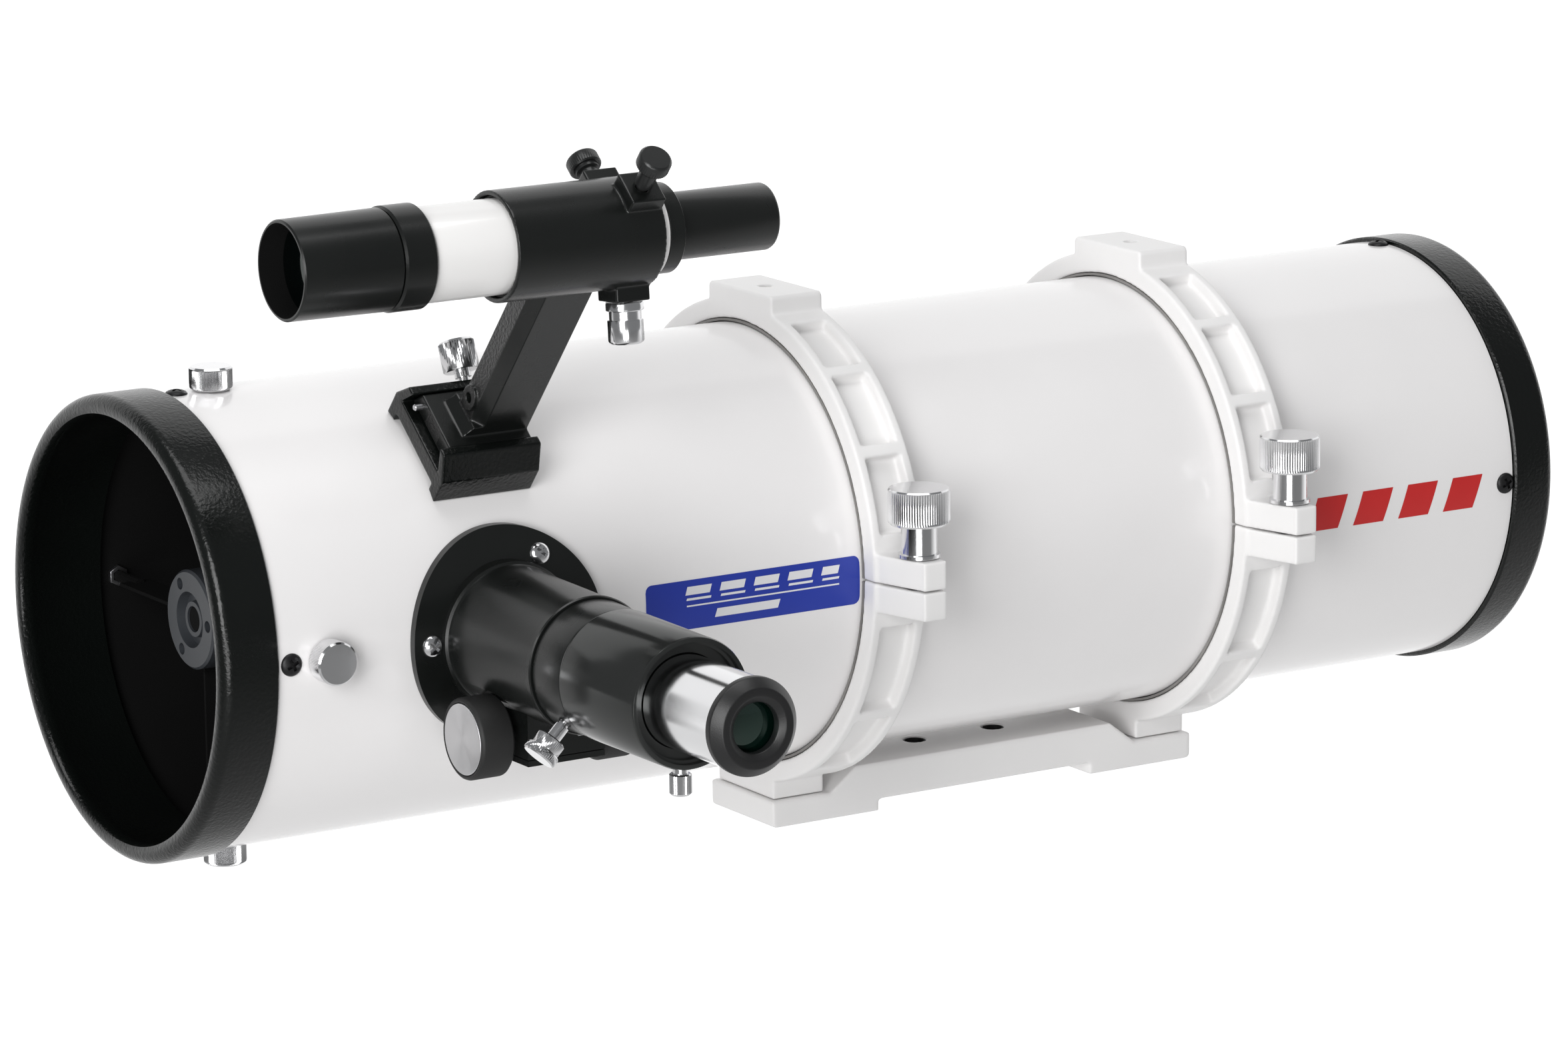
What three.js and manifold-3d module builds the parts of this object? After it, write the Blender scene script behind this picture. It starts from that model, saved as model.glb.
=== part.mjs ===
// A newtonian reflector telescope in its tube rings, in millimetres, +Z up.
// The optical axis runs along X with the open front end towards -X, and the
// focuser points towards -Y. The origin is on the seat where the mounting
// plate bolts to a mount head: the middle of its raised bar's underside.

import * as THREE from 'three';
import { mergeVertices } from 'three/addons/utils/BufferGeometryUtils.js';
import Module from 'manifold-3d';

// ---- driving dimensions -------------------------------------------------

const GAP = 0.3;                  // left between pieces that touch
const ROUND_STEPS = 40;           // facets of the big round pieces
const TURNED_STEPS = 24;          // facets of knobs, barrels and lens cells
const SMALL_STEPS = 14;           // facets of screws and studs
const HOLE_STEPS = 10;            // facets of small holes and pins

const MIRROR_DIAMETER = 130;
const MIRROR_THICKNESS = 18;
const MIRROR_ROOM = 15;           // from the mirror's edge to the tube's outside
const FOCAL_RATIO = 5;
const CELL_DEPTH = 6;             // of the cell's base, and of its raised edge
const CLIP_HALF_WIDTH = 6;
const COLLIMATION_INSET = 10;     // collimation screws in from the mirror's edge
const COLLIMATION_SHANK = 2.5;
const DIAGONAL_DIAMETER = 40;     // minor axis of the diagonal mirror
const DIAGONAL_THICKNESS = 8;

const TUBE_WALL = 1.2;
const TUBE_LENGTH = 525;
const FRONT_REACH = 324.5;        // from the plate's middle to the tube's front end
const TUBE_CLEARANCE = 19.5;      // tube's underside above the mount seat

const END_RING_STEP = 1.75;       // end rings' outside beyond the tube's
const FRONT_LIP = 5.2;            // front opening's edge in from the tube's outside
const FRONT_RING_LENGTH = 21.5;
const REAR_RING_LENGTH = 19;
const END_RING_FACE = 5;          // thickness of an end ring's flat face
const SPIGOT_LENGTH = 10.5;
const SPIGOT_WALL = 3;
const RIM_RADIUS = 4;
const RIM_STEPS = 3;
const WEB_OPENING = 26;           // radius of the hole in the rear ring's web

const RING_SPAN = 161.5;          // between the middles of the two tube rings
const RING_WIDTH = 22;
const RING_HEIGHT = 9;            // this and the next four: out from the tube
const BOSS_RISE = 13;
const LUG_RISE = 31.5;
const CLAMP_RISE = 21;
const HINGE_RISE = 16;
const LINER_THICKNESS = 0.9;
const RING_FLANGE = 3.8;
const RING_POCKET = 4.5;
const BOSS_WIDTH = 43;
const BOSS_HOLE_RADIUS = 2.5;
const FOOT_WIDTH = 38;
const FOOT_DEPTH = 5;
const LUG_TIP = 4.7;              // half the width of the clamp lug's tip
const LUG_HEIGHT = 10.5;
const CLAMP_SHANK = 3;
const CLAMP_WASHER = 7.6;
const CLAMP_NECK = 6.45;
const CLAMP_NECK_LENGTH = 12.2;
const CLAMP_KNOB = 11;
const CLAMP_KNOB_LENGTH = 12.7;
const KNUCKLE_RADIUS = 5;
const HINGE_PIN_RADIUS = 2.2;

const PLATE_WIDTH = 43;
const PLATE_OVERHANG = 12.55;     // plate's end beyond a ring's middle
const PAD_LENGTH = 46.3;
const PAD_DROP = 4.5;             // pad underside below the mount seat
const BAR_THICKNESS = 14;
const SLOPE_LENGTH = 11;
const MOUNT_BOLT_SPAN = 35;
const MOUNT_BOLT_RADIUS = 4.25;
const PLATE_BOLT_RADIUS = 3;
const BOLT_HEAD_DEPTH = 5;

const FOCUSER_INSET = 87.5;       // focuser's axis behind the tube's front end
const BARREL_RADIUS = 15.85;      // the 31.7 mm eyepiece barrel
const DRAWTUBE_ROOM = 3.55;       // from the barrel's outside to the drawtube's
const DRAWTUBE_WALL = 1.8;
const FLANGE_MARGIN = 17.6;       // flange's edge beyond the drawtube
const FLANGE_THICKNESS = 3;
const NECK_LENGTH = 58.4;         // focuser body out from the tube
const COLLAR_LENGTH = 17.6;
const ADAPTER_LENGTH = 47.5;
const ADAPTER_WALL = 6.9;         // adapter's wide end beyond the barrel
const EYEPIECE_REACH = 41.5;      // eyecup beyond the adapter
const EYECUP_LENGTH = 6.5;
const BARREL_WALL = 1.65;
const SET_SCREW_INSET = 7.8;      // eyepiece set screw behind the adapter's mouth
const SET_SCREW_SHANK = 1.7;
const LOCK_SCREW_SHANK = 1.8;
const PINION_RISE = 25;           // pinion shaft out from the tube
const PINION_MARGIN = 8.6;        // pinion shaft below the drawtube
const PINION_PITCH = 4;
const PINION_TEETH = 10;
const SHAFT_RADIUS = 2;
const FOCUS_KNOB_RADIUS = 14.2;
const FOCUS_KNOB_DEPTH = 12.9;
const FOCUS_KNOB_SPAN = 62.8;     // over both knobs

const SPIDER_INSET = 18.5;        // spider's middle behind the tube's front end
const HUB_RADIUS = 17.5;
const HUB_FRONT_DEPTH = 11;
const HUB_REAR_DEPTH = 9;
const STALK_RADIUS = 4;
const VANE_HALF_WIDTH = 6;
const VANE_THICKNESS = 1.2;
const STUD_RADIUS = 2;
const SPIDER_NUT_RADIUS = 7.6;
const SPIDER_NUT_LENGTH = 8.2;

const FINDER_ANGLE = 40.5;        // degrees from the top towards the focuser
const SHOE_LENGTH = 38.4;
const SHOE_HALF_WIDTH = 20.5;
const SHOE_RISE = 8.5;            // channel floor out from the tube
const SHOE_DEPTH = 8;
const SHOE_LIP = 12;              // half the channel's width at its mouth
const SHOE_CHANNEL = 16;          // half the channel's width at its floor
const SHOE_SCREW_SHIFT = 4;       // shoe screw behind the focuser's axis
const SHOE_SCREW_SHANK = 2;
const SHOE_WALL_HALF_WIDTH = 15.5;  // at the top of the channel's walls
const FINDER_RISE = 107.6;        // finder's axis out from the tube
const FINDER_RADIUS = 16.1;
const FINDER_WALL = 1.2;
const BRACKET_ROOM = 1.1;         // between the finder tube and its holder
const BRACKET_WALL = 1.6;
const BRACKET_LENGTH = 56.5;
const BRACKET_LEAD = 25.5;        // holder's front end ahead of the focuser's axis
const ARM_WIDTH = 22;
const ARM_THICKNESS = 16;
const ARM_BEVEL = 4;
const ADJUSTER_INSET = 7;         // adjusters from the holder's rear end
const ADJUSTER_SHANK = 2;
const ADJUSTER_HEAD = 5.75;
const PAD_RISE = 4.2;             // adjuster pads out from the holder
const PAD_HALF_WIDTH = 6.5;
const PLUNGER_BORE = 2.2;
const OBJECTIVE_LEAD = 78.5;      // finder's front end ahead of its holder
const CELL_LENGTH = 37;
const LOCK_RING_LENGTH = 12;
const FINDER_TUBE_LENGTH = 89;
const FINDER_EYEPIECE_LENGTH = 46.5;

// ---- values worked out from them ----------------------------------------

const MIRROR_R = MIRROR_DIAMETER / 2;
const TUBE_R = MIRROR_R + MIRROR_ROOM;
const TUBE_INNER = TUBE_R - TUBE_WALL;
const TUBE_FRONT = -FRONT_REACH;
const TUBE_REAR = TUBE_FRONT + TUBE_LENGTH;
const AXIS_HEIGHT = TUBE_R + TUBE_CLEARANCE;
const WELL_INSIDE = TUBE_R - 20;  // well inside and outside the tube's wall
const WELL_OUTSIDE = TUBE_R + 20;
const SPIGOT_OUTER = TUBE_INNER - GAP;
const SPIGOT_INNER = SPIGOT_OUTER - SPIGOT_WALL;
const RING_OUTER = TUBE_R + RING_HEIGHT;
const RING_BORE = TUBE_R + GAP + LINER_THICKNESS + GAP;
const BOSS_TOP = TUBE_R + BOSS_RISE;
const LUG_REACH = TUBE_R + LUG_RISE;
const CLAMP_REACH = TUBE_R + CLAMP_RISE;
const HINGE_REACH = TUBE_R + HINGE_RISE;
const PAD_TOP = AXIS_HEIGHT - RING_OUTER - FOOT_DEPTH;
const WEB_FRONT = TUBE_REAR + 9;
const WEB_REAR = WEB_FRONT + 4;
const CELL_REAR = WEB_FRONT - 4;
const CELL_FRONT = CELL_REAR - CELL_DEPTH;
const MIRROR_REAR = CELL_FRONT - GAP;
const MIRROR_FACE = MIRROR_REAR - MIRROR_THICKNESS;
const FOCUSER_X = TUBE_FRONT + FOCUSER_INSET;
const DRAWTUBE_RADIUS = BARREL_RADIUS + DRAWTUBE_ROOM;
const DRAWTUBE_BORE = DRAWTUBE_RADIUS - DRAWTUBE_WALL;
const BODY_END = TUBE_R + NECK_LENGTH;
const COLLAR_END = BODY_END + COLLAR_LENGTH;
const ADAPTER_END = COLLAR_END + ADAPTER_LENGTH;
const EYECUP_END = ADAPTER_END + EYEPIECE_REACH;
const EYECUP_START = EYECUP_END - EYECUP_LENGTH;
const PINION_REACH = TUBE_R + PINION_RISE;
const PINION_DROP = DRAWTUBE_RADIUS + PINION_MARGIN;
const SPIDER_X = TUBE_FRONT + SPIDER_INSET;
const SHOE_FLOOR = TUBE_R + SHOE_RISE;
const SHOE_TOP = SHOE_FLOOR + SHOE_DEPTH;
const FINDER_REACH = TUBE_R + FINDER_RISE;
const BRACKET_BORE = FINDER_RADIUS + BRACKET_ROOM;
const BRACKET_FRONT = FOCUSER_X - BRACKET_LEAD;
const BRACKET_BACK = BRACKET_FRONT + BRACKET_LENGTH;
const ADJUSTER_X = BRACKET_BACK - ADJUSTER_INSET;
const OBJECTIVE_FRONT = BRACKET_FRONT - OBJECTIVE_LEAD;

// ---- finishes ------------------------------------------------------------

function finish(color, roughness, metalness) {
  return () => new THREE.MeshStandardMaterial({ color, roughness, metalness, flatShading: true });
}

const whiteEnamel = finish(0xeeeeec, 0.25, 0);
const whiteCasting = finish(0xf0f0ee, 0.4, 0);
const hammeredBlack = finish(0x1c1e1d, 0.35, 0);
const satinBlack = finish(0x1f2121, 0.4, 0);
const mattBlack = finish(0x0c0c0c, 0.9, 0);
const rubber = finish(0x181818, 0.8, 0);
const chrome = finish(0xd8d8da, 0.12, 1);
const steel = finish(0xa8a8aa, 0.3, 1);
const felt = finish(0x9a9792, 1, 0);
const glass = finish(0x9fc0b0, 0.05, 0);
const mirrorCoating = finish(0xe8ecf0, 0.03, 1);

// ---- shape helpers -------------------------------------------------------

const wasm = await Module();
wasm.setup();

function enclosedVolume(position, index) {
  const a = new THREE.Vector3();
  const b = new THREE.Vector3();
  const c = new THREE.Vector3();
  let total = 0;
  for (let i = 0; i < index.length; i += 3) {
    a.fromBufferAttribute(position, index[i]);
    b.fromBufferAttribute(position, index[i + 1]);
    c.fromBufferAttribute(position, index[i + 2]);
    total += a.dot(b.cross(c)) / 6;
  }
  return total;
}

// Positions only, shared corners merged, no collapsed facets, facing out.
function closed(geometry) {
  const bare = geometry.clone();
  bare.deleteAttribute('normal');
  bare.deleteAttribute('uv');
  const merged = mergeVertices(bare, 1e-4);
  const old = merged.index.array;
  const kept = [];
  for (let i = 0; i < old.length; i += 3) {
    const [a, b, c] = [old[i], old[i + 1], old[i + 2]];
    if (a !== b && b !== c && c !== a) kept.push(a, b, c);
  }
  if (enclosedVolume(merged.attributes.position, kept) < 0) kept.reverse();
  merged.setIndex(kept);
  return merged;
}

function solid(geometry) {
  const body = closed(geometry);
  return new wasm.Manifold(new wasm.Mesh({
    numProp: 3,
    vertProperties: new Float32Array(body.attributes.position.array),
    triVerts: new Uint32Array(body.index.array),
  }));
}

function surface(manifold) {
  const mesh = manifold.getMesh();
  const geometry = new THREE.BufferGeometry();
  geometry.setAttribute('position', new THREE.BufferAttribute(mesh.vertProperties, 3));
  geometry.setIndex(new THREE.BufferAttribute(mesh.triVerts, 1));
  return geometry;
}

// Adds one named piece to a group. The shape is a geometry or a cut solid.
function piece(group, name, shape, material) {
  const geometry = shape.isBufferGeometry ? closed(shape) : surface(shape);
  const mesh = new THREE.Mesh(geometry, material());
  mesh.name = name;
  group.add(mesh);
  return mesh;
}

function joined(...geometries) {
  return geometries.map(solid).reduce((whole, next) => whole.add(next));
}

function cut(from, ...tools) {
  return tools.map(solid).reduce((left, tool) => left.subtract(tool), from);
}

// A turned piece about the X axis. Its profile is a list of [along X, radius].
function turned(profile, segments = TURNED_STEPS) {
  const points = profile.map(([along, radius]) => new THREE.Vector2(radius, along));
  const geometry = new THREE.LatheGeometry(points, segments);
  geometry.rotateZ(-Math.PI / 2);
  return geometry;
}

// A turned tube or washer, from x0 to x1.
function sleeve(x0, x1, outer, inner, segments) {
  return turned([[x0, outer], [x1, outer], [x1, inner], [x0, inner], [x0, outer]], segments);
}

function rod(x0, x1, radius, segments) {
  return turned([[x0, 0], [x0, radius], [x1, radius], [x1, 0]], segments);
}

// The turned pieces above, stood along another direction from the origin.
function standing(geometry, direction) {
  const turn = new THREE.Quaternion().setFromUnitVectors(new THREE.Vector3(1, 0, 0), direction);
  return geometry.applyQuaternion(turn);
}

const UP = new THREE.Vector3(0, 0, 1);
const DOWN = new THREE.Vector3(0, 0, -1);
const NEAR = new THREE.Vector3(0, -1, 0);
const FAR = new THREE.Vector3(0, 1, 0);

function block(x0, x1, y0, y1, z0, z1) {
  const geometry = new THREE.BoxGeometry(x1 - x0, y1 - y0, z1 - z0);
  return geometry.translate((x0 + x1) / 2, (y0 + y1) / 2, (z0 + z1) / 2);
}

function outline(points) {
  return new THREE.Shape(points.map(([u, v]) => new THREE.Vector2(u, v)));
}

function extruded(shape, depth) {
  return new THREE.ExtrudeGeometry(shape, { depth, bevelEnabled: false, curveSegments: 12 });
}

// An outline in (Y, Z), drawn out from x0 to x1.
function alongX(points, x0, x1) {
  const toX = new THREE.Matrix4().makeBasis(FAR, UP, new THREE.Vector3(1, 0, 0));
  return extruded(outline(points), x1 - x0).applyMatrix4(toX).translate(x0, 0, 0);
}

// An outline in (X, Z), drawn out to the same half width on both sides of Y = 0.
function alongY(points, halfWidth) {
  return extruded(outline(points), 2 * halfWidth).rotateX(Math.PI / 2).translate(0, halfWidth, 0);
}

// An outline in (X, Y), drawn out from z0 to z1.
function alongZ(points, z0, z1) {
  return extruded(outline(points), z1 - z0).translate(0, 0, z0);
}

// A point on a circle about X. Angles are in degrees from +Z towards -Y.
function around(radius, degrees) {
  const angle = THREE.MathUtils.degToRad(degrees);
  return [-radius * Math.sin(angle), radius * Math.cos(angle)];
}

function arcPoints(radius, from, to) {
  const steps = Math.max(2, Math.ceil(Math.abs(to - from) * ROUND_STEPS / 360));
  return Array.from({ length: steps + 1 }, (_, i) => around(radius, from + (to - from) * i / steps));
}

function arcSector(inner, outer, from, to) {
  return [...arcPoints(outer, from, to), ...arcPoints(inner, to, from)];
}

// ---- groups --------------------------------------------------------------

const telescope = new THREE.Group();
const optics = new THREE.Group();
optics.position.z = AXIS_HEIGHT;
telescope.add(optics);

// Local Z here is the distance out along the focuser's axis, and local Y is up.
const focuser = new THREE.Group();
focuser.position.x = FOCUSER_X;
focuser.rotation.x = Math.PI / 2;
optics.add(focuser);

// Local Z here is the distance out from the optical axis at the finder's place.
const finderSide = new THREE.Group();
finderSide.rotation.x = THREE.MathUtils.degToRad(FINDER_ANGLE);
optics.add(finderSide);

const finder = new THREE.Group();
finder.position.z = FINDER_REACH;
finderSide.add(finder);

// ---- mounting plate ------------------------------------------------------

// A cast bar raised between two pads, which the ring feet are bolted to.
function mountingPlate() {
  const half = RING_SPAN / 2 + PLATE_OVERHANG;
  const padEnd = half - PAD_LENGTH;
  const slopeFoot = RING_SPAN / 2 - RING_WIDTH / 2 - 2;
  const slopeTop = slopeFoot - SLOPE_LENGTH;
  const side = [[0, BAR_THICKNESS], [slopeTop, BAR_THICKNESS], [slopeFoot, PAD_TOP], [half, PAD_TOP],
    [half, -PAD_DROP + 1.5], [half - 1.5, -PAD_DROP], [padEnd, -PAD_DROP], [padEnd, 0], [0, 0]];
  const mirrored = side.slice(1, -1).reverse().map(([x, z]) => [-x, z]);
  const bar = solid(alongY([...side, ...mirrored], PLATE_WIDTH / 2));
  const holes = [-1, 1].map((end) => {
    const hole = standing(rod(-PAD_DROP - 5, BAR_THICKNESS + 5, MOUNT_BOLT_RADIUS, SMALL_STEPS), UP);
    return hole.translate(end * MOUNT_BOLT_SPAN / 2, 0, 0);
  });
  const boltHoles = [-1, 1].flatMap((end) => {
    const x = end * RING_SPAN / 2;
    const shank = standing(rod(-PAD_DROP - 5, PAD_TOP + 5, PLATE_BOLT_RADIUS + GAP, SMALL_STEPS), UP);
    const headTop = -PAD_DROP + BOLT_HEAD_DEPTH;
    const head = standing(rod(-PAD_DROP - 5, headTop, PLATE_BOLT_RADIUS + 2.5, SMALL_STEPS), UP);
    return [shank.translate(x, 0, 0), head.translate(x, 0, 0)];
  });
  return cut(bar, ...holes, ...boltHoles);
}

// A socket-head bolt from under the pad up into the ring's foot.
function plateBolt(end) {
  const headTop = -PAD_DROP + BOLT_HEAD_DEPTH - GAP;
  const tip = PAD_TOP + GAP + 8;
  const radius = PLATE_BOLT_RADIUS + 2;
  const profile = [[-PAD_DROP + 0.6, 0], [-PAD_DROP + 0.6, radius], [headTop, radius],
    [headTop, PLATE_BOLT_RADIUS], [tip, PLATE_BOLT_RADIUS], [tip, 0]];
  return standing(turned(profile, SMALL_STEPS), UP).translate(end * RING_SPAN / 2, 0, 0);
}

piece(telescope, 'mounting_plate', mountingPlate(), whiteCasting);
piece(telescope, 'plate_bolt_front', plateBolt(-1), steel);
piece(telescope, 'plate_bolt_rear', plateBolt(1), steel);

// ---- tube rings ----------------------------------------------------------

// The clamp lug in plan: full width at the ring and a narrow, square tip.
function lugPlan() {
  const half = RING_WIDTH / 2;
  const side = [[half, -RING_OUTER + 4], [half - 2, -RING_OUTER - 5], [LUG_TIP, -LUG_REACH + 1.4],
    [LUG_TIP, -LUG_REACH]];
  return [...side.map(([x, y]) => [-x, y]), ...side.toReversed()];
}

// A whole ring casting about X = 0, before it is split into two halves.
function ringCasting() {
  const half = RING_WIDTH / 2;
  const bossBase = Math.sqrt(RING_OUTER ** 2 - (BOSS_WIDTH / 2) ** 2) - 3;
  const bossHalf = BOSS_WIDTH / 2;
  const footHalf = FOOT_WIDTH / 2;
  const footBase = -RING_OUTER - FOOT_DEPTH + GAP;
  const boss = alongX([[-bossHalf, bossBase], [bossHalf, bossBase], [bossHalf, BOSS_TOP - 1],
    [bossHalf - 1, BOSS_TOP], [-bossHalf + 1, BOSS_TOP], [-bossHalf, BOSS_TOP - 1]], -half, half);
  const foot = alongX([[-footHalf, -RING_OUTER + 7], [-footHalf, footBase], [footHalf, footBase],
    [footHalf, -RING_OUTER + 7]], -half, half);
  const lug = alongZ(lugPlan(), -LUG_HEIGHT, LUG_HEIGHT);
  const hoop = sleeve(-half, half, RING_OUTER, RING_BORE + 1, ROUND_STEPS);
  const whole = joined(hoop, boss, foot, lug);
  return cut(whole, rod(-half - 1, half + 1, RING_BORE, ROUND_STEPS), ...ringPockets());
}

// Shallow pockets round the outside between the two flanges, with ribs between them.
function ringPockets() {
  const spans = [[17, 36], [39, 58], [61, 80], [100, 124], [127, 152]];
  const reach = RING_WIDTH / 2 - RING_FLANGE;
  const sides = spans.flatMap(([from, to]) => [[from, to], [-to, -from]]);
  return sides.map(([from, to]) => alongX(
    arcSector(RING_OUTER - RING_POCKET, RING_OUTER + 1.2, from, to), -reach, reach));
}

// Hinge leaves on the far side. The upper half has the outer knuckles.
function hingeLeaf(isUpper) {
  const third = RING_WIDTH / 6;
  const spans = isUpper ? [[-3 * third, -third - GAP], [third + GAP, 3 * third]] : [[-third, third]];
  const sign = isUpper ? 1 : -1;
  const levels = isUpper ? [GAP, KNUCKLE_RADIUS] : [-KNUCKLE_RADIUS, -GAP];
  return spans.map(([x0, x1]) => {
    const knuckle = rod(x0, x1, KNUCKLE_RADIUS, SMALL_STEPS).translate(0, HINGE_REACH, 0);
    const web = block(x0, x1, RING_OUTER - 4, HINGE_REACH, ...levels);
    const leaf = joined(knuckle, web);
    const bore = rod(x0 - 1, x1 + 1, HINGE_PIN_RADIUS + GAP, HOLE_STEPS).translate(0, HINGE_REACH, 0);
    const foul = block(x0 - 1, x1 + 1, 0, RING_OUTER + 0.8, ...(sign > 0 ? [-9, GAP] : [-GAP, 9]));
    return cut(leaf, bore, foul);
  });
}

function ringHalf(isUpper) {
  const half = RING_WIDTH / 2 + 1;
  const past = LUG_REACH + 10;
  const levels = isUpper ? [GAP, past] : [-past, -GAP];
  const keep = block(-half, half, -past, past, ...levels);
  const body = ringCasting().intersect(solid(keep));
  const holeRadius = isUpper ? CLAMP_SHANK + 0.4 : CLAMP_SHANK + 1.4;
  const clampHole = standing(rod(-30, 30, holeRadius, SMALL_STEPS), UP).translate(0, -CLAMP_REACH, 0);
  const bossHole = standing(rod(BOSS_TOP - 7, BOSS_TOP + 3, BOSS_HOLE_RADIUS, HOLE_STEPS), UP);
  const footBore = rod(RING_OUTER - 5, RING_OUTER + 9, PLATE_BOLT_RADIUS + GAP, SMALL_STEPS);
  const footHole = standing(footBore, DOWN);
  const drilled = cut(body, clampHole, isUpper ? bossHole : footHole);
  return hingeLeaf(isUpper).reduce((whole, leaf) => whole.add(leaf), drilled);
}

function ringLiner(isUpper) {
  const half = RING_WIDTH / 2 - 2;
  const outer = TUBE_R + GAP + LINER_THICKNESS;
  const inner = TUBE_R + GAP + 0.05;
  const [from, to] = isUpper ? [-89.6, 89.6] : [90.4, 269.6];
  return alongX(arcSector(inner, outer, from, to), -half, half);
}

function hingePin() {
  const half = RING_WIDTH / 2 + 0.8;
  return rod(-half, half, HINGE_PIN_RADIUS, HOLE_STEPS).translate(0, HINGE_REACH, 0);
}

// A tall knurled clamp screw with a washer face, standing on the upper lug.
function clampScrew() {
  const seat = LUG_HEIGHT + GAP;
  const knob = seat + CLAMP_NECK_LENGTH;
  const top = knob + CLAMP_KNOB_LENGTH;
  const profile = [[-LUG_HEIGHT + 0.5, 0], [-LUG_HEIGHT + 0.5, CLAMP_SHANK], [seat, CLAMP_SHANK],
    [seat, CLAMP_WASHER], [seat + 1.3, CLAMP_WASHER], [seat + 1.3, CLAMP_NECK], [knob, CLAMP_NECK],
    [knob, CLAMP_KNOB], [top - 0.5, CLAMP_KNOB], [top, CLAMP_KNOB - 0.5], [top, 0]];
  return standing(turned(profile, TURNED_STEPS), UP).translate(0, -CLAMP_REACH, 0);
}

for (const [end, place] of [['front', -RING_SPAN / 2], ['rear', RING_SPAN / 2]]) {
  const ring = new THREE.Group();
  ring.position.x = place;
  optics.add(ring);
  piece(ring, `ring_lower_${end}`, ringHalf(false), whiteCasting);
  piece(ring, `ring_upper_${end}`, ringHalf(true), whiteCasting);
  piece(ring, `ring_liner_lower_${end}`, ringLiner(false), felt);
  piece(ring, `ring_liner_upper_${end}`, ringLiner(true), felt);
  piece(ring, `ring_hinge_pin_${end}`, hingePin(), steel);
  piece(ring, `clamp_screw_${end}`, clampScrew(), chrome);
}

// ---- main tube and its end rings ------------------------------------------

const SPIDER_SIDES = { top: UP, bottom: DOWN, near: NEAR, far: FAR };

function mainTube() {
  const shell = solid(sleeve(TUBE_FRONT, TUBE_REAR, TUBE_R, TUBE_INNER, ROUND_STEPS));
  const drawHole = standing(rod(WELL_INSIDE, WELL_OUTSIDE, DRAWTUBE_RADIUS + 4, TURNED_STEPS), NEAR);
  const rackSlot = block(-5, 5, -WELL_OUTSIDE, -WELL_INSIDE, -PINION_DROP + 1, 0);
  const studHoles = Object.values(SPIDER_SIDES).map((side) => (
    standing(rod(WELL_INSIDE, WELL_OUTSIDE, STUD_RADIUS + GAP, HOLE_STEPS), side)
      .translate(SPIDER_X, 0, 0)));
  return cut(shell, drawHole.translate(FOCUSER_X, 0, 0), rackSlot.translate(FOCUSER_X, 0, 0),
    ...studHoles);
}

// A cast ring over the tube's end, with a spigot inside the tube.
function endRingProfile(length, openingRadius) {
  const outer = TUBE_R + END_RING_STEP;
  const seat = length - GAP;
  const end = length + SPIGOT_LENGTH;
  const rim = Array.from({ length: RIM_STEPS + 1 }, (_, i) => {
    const angle = (i / RIM_STEPS) * Math.PI / 2;
    return [RIM_RADIUS * (1 - Math.sin(angle)), outer - RIM_RADIUS * (1 - Math.cos(angle))];
  }).reverse();
  return [[1.5, openingRadius], [0, openingRadius + 1.5], ...rim, [seat, outer],
    [seat, SPIGOT_OUTER], [end, SPIGOT_OUTER], [end, SPIGOT_INNER], [END_RING_FACE, SPIGOT_INNER],
    [END_RING_FACE, openingRadius], [1.5, openingRadius]];
}

function frontRing() {
  const start = TUBE_FRONT - FRONT_RING_LENGTH;
  const profile = endRingProfile(FRONT_RING_LENGTH, TUBE_R - FRONT_LIP);
  return turned(profile, ROUND_STEPS).translate(start, 0, 0);
}

function collimationPlaces() {
  return [60, 180, 300].map((degrees) => around(MIRROR_R - COLLIMATION_INSET, degrees));
}

// The rear ring has a web across it that carries the mirror cell's screws.
function rearRing() {
  const start = TUBE_REAR + REAR_RING_LENGTH;
  const rim = turned(endRingProfile(REAR_RING_LENGTH, SPIGOT_INNER - 1), ROUND_STEPS);
  const hoop = rim.rotateZ(Math.PI).translate(start, 0, 0);
  const web = sleeve(WEB_FRONT, WEB_REAR, SPIGOT_INNER + 1, WEB_OPENING, ROUND_STEPS);
  const holes = collimationPlaces().map(([y, z]) => (
    rod(WEB_FRONT - 5, WEB_REAR + 5, COLLIMATION_SHANK + GAP, SMALL_STEPS).translate(0, y, z)));
  return cut(joined(hoop, web), ...holes);
}

piece(optics, 'main_tube', mainTube(), whiteEnamel);
piece(optics, 'front_end_ring', frontRing(), hammeredBlack);
piece(optics, 'rear_end_ring', rearRing(), hammeredBlack);

// ---- primary mirror and its cell -------------------------------------------

function primaryMirror() {
  const focalLength = FOCAL_RATIO * MIRROR_DIAMETER;
  const curve = Array.from({ length: 5 }, (_, i) => {
    const r = MIRROR_R * i / 4;
    return [MIRROR_FACE + (MIRROR_R ** 2 - r ** 2) / (4 * focalLength), r];
  });
  return turned([...curve, [MIRROR_REAR, MIRROR_R], [MIRROR_REAR, 0]], ROUND_STEPS);
}

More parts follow.
